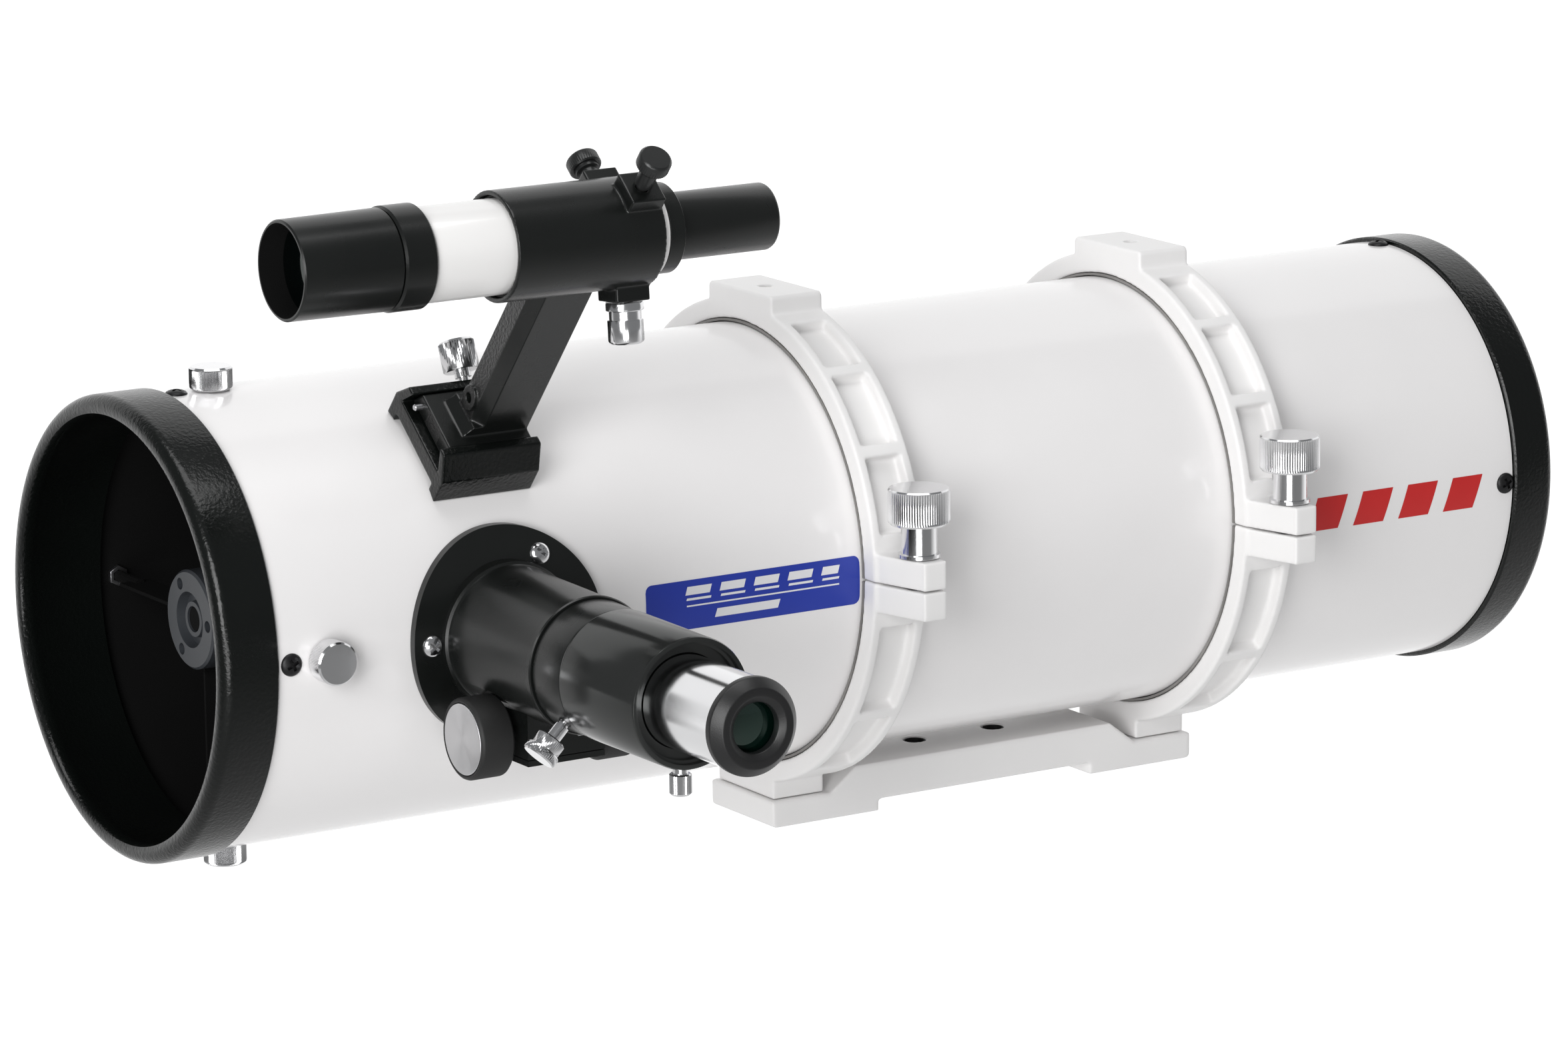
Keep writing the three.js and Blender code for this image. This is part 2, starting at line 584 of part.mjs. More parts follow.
// The cell is a dish with three clips that hold the mirror's edge.
function mirrorCell() {
  const outer = SPIGOT_INNER - 3;
  const edge = CELL_FRONT - CELL_DEPTH;
  const dish = turned([[CELL_FRONT, 20], [CELL_FRONT, MIRROR_R + GAP], [edge, MIRROR_R + GAP],
    [edge, outer], [CELL_REAR, outer], [CELL_REAR, 20], [CELL_FRONT, 20]], ROUND_STEPS);
  const clips = [0, 120, 240].flatMap((degrees) => {
    const width = [-CLIP_HALF_WIDTH, CLIP_HALF_WIDTH];
    const post = block(MIRROR_FACE - 3, CELL_FRONT, ...width, MIRROR_R + 0.6, outer - 0.5);
    const hook = block(MIRROR_FACE - 3, MIRROR_FACE - GAP, ...width, MIRROR_R - 3, outer - 0.5);
    return [post, hook].map((clip) => clip.rotateX(THREE.MathUtils.degToRad(degrees)));
  });
  const holes = collimationPlaces().map(([y, z]) => (
    rod(CELL_FRONT - 1, CELL_REAR + 1, COLLIMATION_SHANK + GAP, SMALL_STEPS).translate(0, y, z)));
  return cut(joined(dish, ...clips), ...holes);
}

function collimationScrew([y, z]) {
  const head = WEB_REAR + GAP;
  const end = head + 5.2;
  const profile = [[CELL_FRONT + 0.5, 0], [CELL_FRONT + 0.5, COLLIMATION_SHANK],
    [head, COLLIMATION_SHANK], [head, 6.5], [end - 0.5, 6.5], [end, 6], [end, 0]];
  return turned(profile, SMALL_STEPS).translate(0, y, z);
}

piece(optics, 'primary_mirror', primaryMirror(), mirrorCoating);
piece(optics, 'mirror_cell', mirrorCell(), mattBlack);
collimationPlaces().forEach((place, i) => {
  piece(optics, `collimation_screw_${i + 1}`, collimationScrew(place), chrome);
});

// ---- spider and diagonal mirror ---------------------------------------------

const HUB_FRONT = SPIDER_X - HUB_FRONT_DEPTH;
const HUB_REAR = SPIDER_X + HUB_REAR_DEPTH;
const HOLDER_RADIUS = DIAGONAL_DIAMETER / 2;

function spiderHub() {
  const profile = [[HUB_FRONT + 1.5, STALK_RADIUS + GAP], [HUB_FRONT + 1.5, 6.3],
    [HUB_FRONT + 3.5, 6.6], [HUB_FRONT + 3.5, 9.3], [HUB_FRONT, 9.9], [HUB_FRONT, HUB_RADIUS - 0.8],
    [HUB_FRONT + 0.8, HUB_RADIUS], [HUB_REAR, HUB_RADIUS],
    [HUB_REAR, STALK_RADIUS + GAP], [HUB_FRONT + 1.5, STALK_RADIUS + GAP]];
  return turned(profile, TURNED_STEPS);
}

// A thin strip from the hub to a threaded stud that passes out through the tube.
function spiderVane(side) {
  const half = VANE_THICKNESS / 2;
  const strip = block(HUB_RADIUS + GAP, WELL_INSIDE + 4, -half, half, -VANE_HALF_WIDTH, VANE_HALF_WIDTH);
  const stud = rod(WELL_INSIDE, TUBE_R + SPIDER_NUT_LENGTH - 2.2, STUD_RADIUS, HOLE_STEPS);
  const upright = joined(strip, stud);
  const vane = surface(upright);
  const stand = new THREE.Matrix4().makeBasis(side, new THREE.Vector3(1, 0, 0).cross(side).negate(),
    new THREE.Vector3(1, 0, 0));
  return vane.applyMatrix4(stand).translate(SPIDER_X, 0, 0);
}

function spiderNut(side) {
  const seat = TUBE_R + GAP;
  const bore = STUD_RADIUS + GAP;
  const outer = SPIDER_NUT_RADIUS;
  const crown = seat + SPIDER_NUT_LENGTH;
  const profile = [[seat, bore], [seat, outer - 0.8], [seat + 0.8, outer], [crown - 1.2, outer],
    [crown, outer - 1.2], [crown, 0], [crown - 2, 0], [crown - 2, bore], [seat, bore]];
  return standing(turned(profile, SMALL_STEPS), side).translate(SPIDER_X, 0, 0);
}

// The 45 degree plane that the diagonal's coated face lies in, as a thick slab.
function diagonalSlab(from, to) {
  return block(from, to, -80, 80, -80, 80).rotateZ(-Math.PI / 4).translate(FOCUSER_X, 0, 0);
}

function diagonalMirror() {
  const cylinder = solid(rod(FOCUSER_X - 60, FOCUSER_X + 60, HOLDER_RADIUS, TURNED_STEPS));
  return cylinder.intersect(solid(diagonalSlab(-DIAGONAL_THICKNESS, 0)));
}

function diagonalHolder() {
  const start = FOCUSER_X - 42;
  const stalk = rod(HUB_FRONT + 2, start + 1, STALK_RADIUS, SMALL_STEPS);
  const barrel = joined(rod(start, FOCUSER_X + 60, HOLDER_RADIUS, TURNED_STEPS), stalk);
  const behind = solid(diagonalSlab(-150, -DIAGONAL_THICKNESS - GAP));
  return barrel.intersect(behind);
}

piece(optics, 'spider_hub', spiderHub(), satinBlack);
for (const [name, side] of Object.entries(SPIDER_SIDES)) {
  piece(optics, `spider_vane_${name}`, spiderVane(side), mattBlack);
  piece(optics, `spider_nut_${name}`, spiderNut(side), chrome);
}
piece(optics, 'diagonal_holder', diagonalHolder(), mattBlack);
piece(optics, 'diagonal_mirror', diagonalMirror(), mirrorCoating);

// ---- focuser -----------------------------------------------------------------

const SADDLE = TUBE_R + GAP;
const FLANGE_TOP = SADDLE + FLANGE_THICKNESS;
const DRAW_BORE = DRAWTUBE_RADIUS + 0.4;
const RACK_TOP = DRAWTUBE_RADIUS + GAP;
const RACK_PITCH_LINE = PINION_DROP - PINION_PITCH;
const RACK_TOOTH = 1;
const RACK_HALF_WIDTH = 3;
const HOUSING_HALF_WIDTH = 15;
const HOUSING_START = PINION_REACH - 15;
const HOUSING_END = PINION_REACH + 16;
const HOUSING_DROP = PINION_DROP + 6.4;

// The tube's outside in the focuser's frame, where it runs along X.
function tubeBlank(radius) {
  return rod(-90, 90, radius, ROUND_STEPS);
}

// A saddle flange, a tapering neck and the pinion housing under it, in one casting.
function focuserBody() {
  const flangeRadius = DRAWTUBE_RADIUS + FLANGE_MARGIN;
  const flange = solid(standing(rod(WELL_INSIDE - 20, WELL_OUTSIDE, flangeRadius, ROUND_STEPS), UP));
  const saddle = flange.intersect(solid(tubeBlank(FLANGE_TOP)));
  const foot = DRAWTUBE_RADIUS + 6.4;
  const lip = DRAWTUBE_RADIUS + 4.5;
  const neck = standing(turned([[TUBE_R - 10, 0], [TUBE_R - 10, foot], [FLANGE_TOP + 1, foot],
    [FLANGE_TOP + 1.6, foot - 0.9], [FLANGE_TOP + 3, foot - 1.5], [BODY_END - 3, lip - 0.5],
    [BODY_END - 3, lip], [BODY_END, lip], [BODY_END, 0]]), UP);
  const housing = block(-HOUSING_HALF_WIDTH, HOUSING_HALF_WIDTH, -HOUSING_DROP, -DRAWTUBE_RADIUS + 1.4,
    HOUSING_START, HOUSING_END);
  const whole = saddle.add(solid(neck)).add(solid(housing));
  const rackWay = block(-RACK_HALF_WIDTH - 0.6, RACK_HALF_WIDTH + 0.6,
    -RACK_PITCH_LINE - RACK_TOOTH - 0.6, 0, WELL_INSIDE, BODY_END + 1);
  const pinionWell = block(-5.5, 5.5, -HOUSING_DROP - 1, -DRAWTUBE_RADIUS + 4.4,
    PINION_REACH - 6, PINION_REACH + 6);
  const shaftHole = rod(-30, 30, SHAFT_RADIUS + GAP, SMALL_STEPS).translate(0, -PINION_DROP, PINION_REACH);
  const knobInner = FOCUS_KNOB_SPAN / 2 - FOCUS_KNOB_DEPTH - 0.6;
  const knobRecesses = [[-50, -knobInner], [knobInner, 50]].map(([x0, x1]) => (
    rod(x0, x1, FOCUS_KNOB_RADIUS + 1, TURNED_STEPS).translate(0, -PINION_DROP, PINION_REACH)));
  const bore = standing(rod(WELL_INSIDE, BODY_END + 20, DRAW_BORE), UP);
  return cut(whole, bore, tubeBlank(SADDLE), rackWay, pinionWell, shaftHole, ...knobRecesses);
}

// The drawtube slides in the body and ends in a wide collar.
function drawtube() {
  const inner = SADDLE - 9;
  const collar = BODY_END + GAP;
  const profile = [[inner, DRAWTUBE_BORE], [inner, DRAWTUBE_RADIUS], [collar, DRAWTUBE_RADIUS],
    [collar, DRAWTUBE_RADIUS + 3.5], [COLLAR_END, DRAWTUBE_RADIUS + 3], [COLLAR_END, DRAWTUBE_BORE],
    [inner, DRAWTUBE_BORE]];
  const tube = solid(standing(turned(profile), UP));
  const screwHole = lockScrewTool(rod(0, DRAWTUBE_RADIUS + 20, LOCK_SCREW_SHANK + GAP, HOLE_STEPS));
  return cut(tube, screwHole);
}

function toothedEdge(from, to, pitchLine, height, pitch) {
  const count = Math.floor((to - from) / pitch);
  return Array.from({ length: count }, (_, i) => {
    const z = from + i * pitch;
    return [[z, pitchLine - height], [z + pitch * 0.2, pitchLine + height * 0.7],
      [z + pitch * 0.5, pitchLine + height * 0.7], [z + pitch * 0.7, pitchLine - height]];
  }).flat();
}

const TOOTH_PITCH = 2 * Math.PI * PINION_PITCH / PINION_TEETH;

// The rack is screwed along the drawtube's underside.
function focusRack() {
  const start = SADDLE - 8;
  const end = BODY_END - GAP;
  const middle = PINION_REACH - Math.floor((PINION_REACH - start) / TOOTH_PITCH) * TOOTH_PITCH;
  const teeth = toothedEdge(middle + TOOTH_PITCH * 0.15, end - 1, RACK_PITCH_LINE, RACK_TOOTH, TOOTH_PITCH);
  const edge = [[start, RACK_TOP], [start, RACK_PITCH_LINE - RACK_TOOTH], ...teeth,
    [end, RACK_PITCH_LINE - RACK_TOOTH], [end, RACK_TOP]];
  const profile = edge.map(([along, drop]) => [-drop, along]);
  return alongX(profile, -RACK_HALF_WIDTH, RACK_HALF_WIDTH);
}

// The pinion is cut in one with its shaft, which carries a knob at each end.
function pinionShaft() {
  const step = 2 * Math.PI / PINION_TEETH;
  const points = Array.from({ length: PINION_TEETH }, (_, i) => {
    const angle = i * step;
    return [[-0.2, PINION_PITCH - 1.1], [-0.1, PINION_PITCH + 0.7], [0.1, PINION_PITCH + 0.7],
      [0.2, PINION_PITCH - 1.1]].map(([share, radius]) => (
      [radius * Math.cos(angle + share * step), radius * Math.sin(angle + share * step)]));
  }).flat();
  const gear = alongX(points, -RACK_HALF_WIDTH, RACK_HALF_WIDTH);
  const reach = FOCUS_KNOB_SPAN / 2 - 4;
  return joined(gear, rod(-reach, reach, SHAFT_RADIUS, SMALL_STEPS));
}

// A knob with a rubber rim, given for the +X end.
function focusKnob() {
  const outer = FOCUS_KNOB_SPAN / 2;
  const inner = outer - FOCUS_KNOB_DEPTH;
  const bore = SHAFT_RADIUS + GAP;
  const shaftEnd = outer - 4 + GAP;
  const profile = [[inner, bore], [inner, FOCUS_KNOB_RADIUS - 0.8], [inner + 0.8, FOCUS_KNOB_RADIUS],
    [outer - 1, FOCUS_KNOB_RADIUS], [outer, FOCUS_KNOB_RADIUS - 1.2], [outer, 0], [shaftEnd, 0],
    [shaftEnd, bore], [inner, bore]];
  return turned(profile, TURNED_STEPS);
}

// A pressed plate that closes the pinion housing from below.
function pinionCover() {
  const inside = -HOUSING_DROP - GAP;
  const plate = solid(block(-HOUSING_HALF_WIDTH, HOUSING_HALF_WIDTH, inside - 2, inside,
    HOUSING_START, HOUSING_END));
  const hole = standing(rod(inside - 20, inside + 20, 2, HOLE_STEPS), FAR).translate(0, 0, PINION_REACH);
  return cut(plate, hole);
}

// Stands a screw in the drawtube's collar, pointing down and towards the front.
function lockScrewTool(geometry) {
  const out = new THREE.Vector3(-1, -1, 0).normalize();
  return standing(geometry, out).translate(0, 0, (BODY_END + COLLAR_END) / 2);
}

// A screw with a thicker neck from its seat up to a round head.
function thumbScrew(tip, seat, neckLength, headLength, shank, headRadius) {
  const headStart = seat + neckLength;
  const end = headStart + headLength;
  return turned([[tip, 0], [tip, shank], [seat, shank], [seat, shank + 1], [headStart, shank + 1],
    [headStart, headRadius], [end - 0.6, headRadius], [end, headRadius - 0.6], [end, 0]], SMALL_STEPS);
}

// The lock screw's head is a knurled barrel that ends in a wider knurled disk.
function lockScrew() {
  const tip = DRAWTUBE_BORE + 1;
  const seat = DRAWTUBE_RADIUS + 4.2;
  const neck = LOCK_SCREW_SHANK + 0.9;
  const head = seat + 5.4;
  const disk = head + 4.6;
  const end = disk + 3.4;
  return turned([[tip, 0], [tip, LOCK_SCREW_SHANK], [seat, LOCK_SCREW_SHANK], [seat, neck], [head, neck],
    [head, 5.2], [disk, 5.2], [disk, 6.2], [end - 0.5, 6.2], [end, 5.7], [end, 0]], SMALL_STEPS);
}

// A tapering eyepiece adapter, stepped inside its mouth.
function eyepieceAdapter() {
  const start = COLLAR_END + GAP;
  const seat = BARREL_RADIUS + GAP;
  const mouth = BARREL_RADIUS + 5.8;
  const profile = [[start, seat], [start, BARREL_RADIUS + ADAPTER_WALL], [ADAPTER_END - 1, mouth + 0.8],
    [ADAPTER_END, mouth], [ADAPTER_END, mouth - 1.1], [ADAPTER_END - 2.5, mouth - 1.1],
    [ADAPTER_END - 2.5, mouth - 2.2], [ADAPTER_END - 5, mouth - 2.2], [ADAPTER_END - 5, seat],
    [start, seat]];
  const body = solid(standing(turned(profile), UP));
  const hole = rod(BARREL_RADIUS - 5, BARREL_RADIUS + 15, SET_SCREW_SHANK + GAP, HOLE_STEPS);
  return cut(body, setScrewTool(hole));
}

// Stands a screw in the adapter's mouth, pointing down.
function setScrewTool(geometry) {
  return standing(geometry, NEAR).translate(0, 0, ADAPTER_END - SET_SCREW_INSET);
}

function eyepieceBarrel() {
  const start = COLLAR_END + 18;
  const end = EYECUP_START - GAP;
  const bore = BARREL_RADIUS - BARREL_WALL;
  const profile = [[start, bore], [start, BARREL_RADIUS - 0.4], [start + 0.4, BARREL_RADIUS],
    [end, BARREL_RADIUS], [end, bore], [start, bore]];
  return standing(turned(profile), UP);
}

function eyecup() {
  const outer = BARREL_RADIUS + 0.75;
  const bore = BARREL_RADIUS - BARREL_WALL;
  const opening = bore - 6.2;
  const seat = EYECUP_START + 2;
  const profile = [[EYECUP_START, bore], [EYECUP_START, outer - 0.6], [EYECUP_START + 0.8, outer],
    [EYECUP_END - 3.4, outer], [EYECUP_END, outer - 3.2], [EYECUP_END, opening + 2.6],
    [EYECUP_END - 1.6, opening], [seat, opening], [seat, bore - 2], [EYECUP_START, bore]];
  return standing(turned(profile), UP);
}

// The eye lens sits just behind the eyecup's opening.
function eyeLens() {
  const rear = EYECUP_START + 2 - GAP;
  const radius = BARREL_RADIUS - BARREL_WALL - 3.7;
  const profile = [[rear - 5, 0], [rear - 4.6, radius * 0.57], [rear - 3.6, radius],
    [rear - 1.2, radius], [rear - 0.3, radius * 0.57], [rear, 0]];
  return standing(turned(profile), UP);
}

piece(focuser, 'focuser_body', focuserBody(), satinBlack);
piece(focuser, 'drawtube', drawtube(), satinBlack);
piece(focuser, 'focus_rack', focusRack(), steel);
piece(focuser, 'eyepiece_adapter', eyepieceAdapter(), satinBlack);
piece(focuser, 'pinion_cover', pinionCover(), satinBlack);
piece(focuser, 'eyepiece_barrel', eyepieceBarrel(), chrome);
piece(focuser, 'eyecup', eyecup(), rubber);
piece(focuser, 'eye_lens', eyeLens(), glass);

const setScrew = thumbScrew(BARREL_RADIUS + GAP, BARREL_RADIUS + ADAPTER_WALL, 2.3, 7.5,
  SET_SCREW_SHANK, 3.8);
piece(focuser, 'eyepiece_set_screw', setScrewTool(setScrew), chrome);
piece(focuser, 'adapter_lock_screw', lockScrewTool(lockScrew()), chrome);

const pinionAxis = new THREE.Group();
pinionAxis.position.set(0, -PINION_DROP, PINION_REACH);
focuser.add(pinionAxis);
piece(pinionAxis, 'pinion_shaft', pinionShaft(), steel);
piece(pinionAxis, 'focus_knob_rear', focusKnob(), rubber);
piece(pinionAxis, 'focus_knob_front', focusKnob().rotateY(Math.PI), rubber);

// ---- finder shoe and bracket ---------------------------------------------------

// A dovetail channel whose feet follow the tube.
function finderShoe() {
  const half = SHOE_LENGTH / 2;
  const width = SHOE_HALF_WIDTH;
  const side = [[width, TUBE_R - 10], [width, SHOE_FLOOR - 0.5], [SHOE_WALL_HALF_WIDTH, SHOE_TOP],
    [SHOE_LIP, SHOE_TOP], [SHOE_CHANNEL, SHOE_FLOOR]];
  const mirrored = side.map(([y, z]) => [-y, z]).reverse();
  const channel = solid(alongX([...side, ...mirrored], FOCUSER_X - half, FOCUSER_X + half));
  const tube = rod(FOCUSER_X - 60, FOCUSER_X + 60, SADDLE, ROUND_STEPS);
  const relief = block(-half - 1, half + 1, 5 - width, width - 5, WELL_INSIDE, TUBE_R + 2);
  const screwHole = shoeScrewTool(rod(-4, 20, SHOE_SCREW_SHANK + GAP, HOLE_STEPS));
  return cut(channel, tube, relief.translate(FOCUSER_X, 0, 0), screwHole);
}

// Stands a screw in the channel's far wall, square to the flank it presses on.
function shoeScrewTool(geometry) {
  const square = new THREE.Vector3(0, SHOE_DEPTH, SHOE_CHANNEL - SHOE_LIP).normalize();
  return standing(geometry, square).translate(FOCUSER_X + SHOE_SCREW_SHIFT,
    (SHOE_CHANNEL + SHOE_LIP) / 2, (SHOE_FLOOR + SHOE_TOP) / 2);
}

// Half the bracket foot's width at a height above the channel's floor.
function footHalfWidth(height) {
  const share = (height - SHOE_FLOOR) / (SHOE_TOP - SHOE_FLOOR);
  return SHOE_CHANNEL + (SHOE_LIP - SHOE_CHANNEL) * share - 0.45;
}

// The three places round the bracket's rear end where a screw or plunger stands.
const OUTWARD = new THREE.Vector3(0, 0, 1);
const SIDEWAYS = new THREE.Vector3(0, 1, 0);
const INWARD = new THREE.Vector3(0, -1, -1).normalize();
const ADJUSTER_PLACES = [OUTWARD, SIDEWAYS, INWARD];
const PAD_HEIGHT = BRACKET_BORE + BRACKET_WALL + PAD_RISE;

function adjusterPad(direction) {
  const side = [-PAD_HALF_WIDTH, PAD_HALF_WIDTH];
  const pad = block(BRACKET_BORE + 0.4, PAD_HEIGHT, ...side, ...side);
  return standing(pad, direction).translate(ADJUSTER_X, 0, 0);
}

function adjusterHole(direction) {
  const radius = direction === INWARD ? PLUNGER_BORE + GAP : ADJUSTER_SHANK + GAP;
  return standing(rod(8, PAD_HEIGHT + 2, radius, HOLE_STEPS), direction).translate(ADJUSTER_X, 0, 0);
}

// Foot, arm and holding tube, cast in one. Heights are from the finder's axis.
function finderBracket() {
  const down = -FINDER_REACH;
  const footBase = SHOE_FLOOR + 0.4;
  const footTop = SHOE_TOP - 0.8;
  const footSide = [[footHalfWidth(footBase), footBase + down], [footHalfWidth(footTop), footTop + down]];
  const footPoints = [...footSide, ...footSide.map(([y, z]) => [-y, z]).reverse()];
  const foot = alongX(footPoints, FOCUSER_X - SHOE_LENGTH / 2 + 4, FOCUSER_X + SHOE_LENGTH / 2 - 2);
  const armRear = FOCUSER_X + 17;
  const armFront = armRear - ARM_WIDTH;
  const halfArm = ARM_THICKNESS / 2;
  const section = [[armRear, -halfArm], [armRear, halfArm], [armFront + ARM_BEVEL, halfArm],
    [armFront, halfArm - ARM_BEVEL], [armFront, ARM_BEVEL - halfArm], [armFront + ARM_BEVEL, -halfArm]];
  const arm = alongZ(section, footTop + down - 1, -BRACKET_BORE + 2);
  const toe = alongY([[armFront - 4, footTop + down - 1], [armRear, footTop + down - 1],
    [armRear, footTop + down + 4], [armFront, footTop + down + 4]], halfArm);
  const boss = rod(armFront - 1.4, armFront + 2, 4, SMALL_STEPS).scale(1, 1, 1.35)
    .translate(0, 0, footTop + down + 11);
  const holder = rod(BRACKET_FRONT, BRACKET_BACK, BRACKET_BORE + BRACKET_WALL, ROUND_STEPS);
  const whole = joined(holder, foot, arm, toe, boss, ...ADJUSTER_PLACES.map(adjusterPad));
  const bore = rod(BRACKET_FRONT - 1, BRACKET_BACK + 1, BRACKET_BORE, ROUND_STEPS);
  const bossHole = rod(armFront - 4, armFront + 3, 1.8, HOLE_STEPS).translate(0, 0, footTop + down + 11);
  return cut(whole, bore, bossHole, ...ADJUSTER_PLACES.map(adjusterHole));
}

piece(finderSide, 'finder_shoe', finderShoe(), hammeredBlack);
const shoeScrew = thumbScrew(0, 4.6, 2.3, 11, SHOE_SCREW_SHANK, 6.4);
piece(finderSide, 'shoe_screw', shoeScrewTool(shoeScrew), chrome);
piece(finder, 'finder_bracket', finderBracket(), hammeredBlack);

// ---- finder adjusters -------------------------------------------------------------

function adjuster(direction, neckLength) {
  const tip = FINDER_RADIUS + GAP;
  const screw = thumbScrew(tip, PAD_HEIGHT + 1.5, neckLength, 5, ADJUSTER_SHANK, ADJUSTER_HEAD);
  return standing(screw, direction).translate(ADJUSTER_X, 0, 0);
}

// The plunger's chrome housing holds the spring behind its pin.
function plungerHousing() {
  const seat = PAD_HEIGHT + GAP;
  const bore = PLUNGER_BORE + GAP;
  const cap = seat + 14.2;
  const roof = cap - 1.7;
  const profile = [[seat, bore], [seat, 6.6], [seat + 3, 6.6], [seat + 3, 5.6], [seat + 6, 5.6],
    [seat + 6, 6.1], [cap - 0.7, 6.1], [cap, 5.4], [cap, 0], [roof, 0], [roof, bore], [seat, bore]];
  return standing(turned(profile, TURNED_STEPS), INWARD).translate(ADJUSTER_X, 0, 0);
}

function plungerPin() {
  const pin = rod(FINDER_RADIUS + GAP, PAD_HEIGHT + 8, PLUNGER_BORE, HOLE_STEPS);
  return standing(pin, INWARD).translate(ADJUSTER_X, 0, 0);
}

piece(finder, 'adjuster_outer', adjuster(OUTWARD, 8.1), satinBlack);
piece(finder, 'adjuster_side', adjuster(SIDEWAYS, 4.1), satinBlack);
piece(finder, 'plunger_housing', plungerHousing(), chrome);
piece(finder, 'plunger_pin', plungerPin(), steel);

// ---- finder telescope ---------------------------------------------------------------

const CELL_BACK = OBJECTIVE_FRONT + CELL_LENGTH;
const LOCK_BACK = CELL_BACK + LOCK_RING_LENGTH;
const FINDER_TUBE_BACK = LOCK_BACK + FINDER_TUBE_LENGTH;
const FINDER_BORE = FINDER_RADIUS - FINDER_WALL;
const FINDER_THREAD = FINDER_BORE - GAP;
const CELL_RADIUS = FINDER_RADIUS + 1.1;
const CELL_BORE = FINDER_RADIUS - 2.9;
const LENS_SEAT = OBJECTIVE_FRONT + 14;

function finderTube() {
  return sleeve(LOCK_BACK + GAP, FINDER_TUBE_BACK, FINDER_RADIUS, FINDER_BORE, TURNED_STEPS);
}

// The objective's cell screws into the front of the finder tube to focus it.
function finderCell() {
  const end = LOCK_BACK + 8;
  const opening = FINDER_RADIUS - 0.5;
  const profile = [[OBJECTIVE_FRONT, opening], [OBJECTIVE_FRONT, CELL_RADIUS - 0.4],
    [CELL_BACK - GAP, CELL_RADIUS], [CELL_BACK - GAP, FINDER_THREAD], [end, FINDER_THREAD],
    [end, CELL_BORE], [LENS_SEAT, CELL_BORE], [LENS_SEAT, opening - 0.3], [OBJECTIVE_FRONT, opening]];
  return turned(profile);
}

function finderLockRing() {
  const bore = FINDER_THREAD + GAP;
  const rim = CELL_RADIUS + 0.5;
  const profile = [[CELL_BACK, bore], [CELL_BACK, CELL_RADIUS], [CELL_BACK + 0.6, rim],
    [LOCK_BACK - 0.6, rim], [LOCK_BACK, CELL_RADIUS], [LOCK_BACK, bore], [CELL_BACK, bore]];
  return turned(profile, TURNED_STEPS);
}

function finderObjective() {
  const back = LENS_SEAT - GAP;
  const front = back - 5;
  const radius = FINDER_RADIUS - 1.1;
  const crown = [[front - 1.2, 0], [front - 1, radius * 0.4], [front - 0.4, radius * 0.8],
    [front, radius]];
  return turned([...crown, [back, radius], [back, 0]], TURNED_STEPS);
}

// The finder's eyepiece: a ring in the tube's rear end, then a slimmer barrel.
function finderEyepiece() {
  const start = FINDER_TUBE_BACK - 8;
  const ringFront = FINDER_TUBE_BACK + GAP;
  const ringBack = ringFront + 6.5;
  const end = FINDER_TUBE_BACK + FINDER_EYEPIECE_LENGTH;
  const ring = FINDER_RADIUS - 0.7;
  const barrel = FINDER_RADIUS - 4.6;
  const bore = FINDER_RADIUS - 6.5;
  const profile = [[start, bore], [start, FINDER_BORE - GAP], [ringFront, FINDER_BORE - GAP],
    [ringFront, ring], [ringBack, ring], [ringBack, barrel], [end - 0.8, barrel], [end, barrel - 0.8],
    [end, bore - 2.1], [end - 4, bore - 3.6], [end - 4, bore], [start, bore]];
  return turned(profile);
}

piece(finder, 'finder_tube', finderTube(), whiteEnamel);
piece(finder, 'finder_cell', finderCell(), satinBlack);
piece(finder, 'finder_lock_ring', finderLockRing(), satinBlack);
piece(finder, 'finder_objective', finderObjective(), glass);
piece(finder, 'finder_eyepiece', finderEyepiece(), satinBlack);

export default telescope;
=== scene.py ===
import math
import bmesh
import bpy
from mathutils import Matrix, Quaternion, Vector


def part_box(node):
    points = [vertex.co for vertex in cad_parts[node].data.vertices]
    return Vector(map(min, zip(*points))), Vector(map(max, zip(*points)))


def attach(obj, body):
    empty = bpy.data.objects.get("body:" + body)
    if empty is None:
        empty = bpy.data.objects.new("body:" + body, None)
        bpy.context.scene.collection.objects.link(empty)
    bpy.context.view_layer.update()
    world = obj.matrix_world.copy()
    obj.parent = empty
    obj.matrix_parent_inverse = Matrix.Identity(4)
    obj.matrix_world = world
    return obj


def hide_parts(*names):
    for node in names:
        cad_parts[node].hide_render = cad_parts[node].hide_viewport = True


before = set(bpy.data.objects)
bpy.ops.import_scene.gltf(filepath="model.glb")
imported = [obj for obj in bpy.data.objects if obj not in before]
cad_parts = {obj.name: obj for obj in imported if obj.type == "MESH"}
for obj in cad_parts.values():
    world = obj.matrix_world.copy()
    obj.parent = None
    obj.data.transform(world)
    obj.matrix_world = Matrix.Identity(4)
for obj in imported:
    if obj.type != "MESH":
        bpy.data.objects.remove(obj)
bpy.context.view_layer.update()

# ---- camera ----------------------------------------------------------
# A long lens on a tripod, a little above the tube and to the left of the
# focuser, looking back along the tube from its open end.
tube_low, tube_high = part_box("main_tube")
AXIS = 1000 * (tube_low.z + tube_high.z) / 2

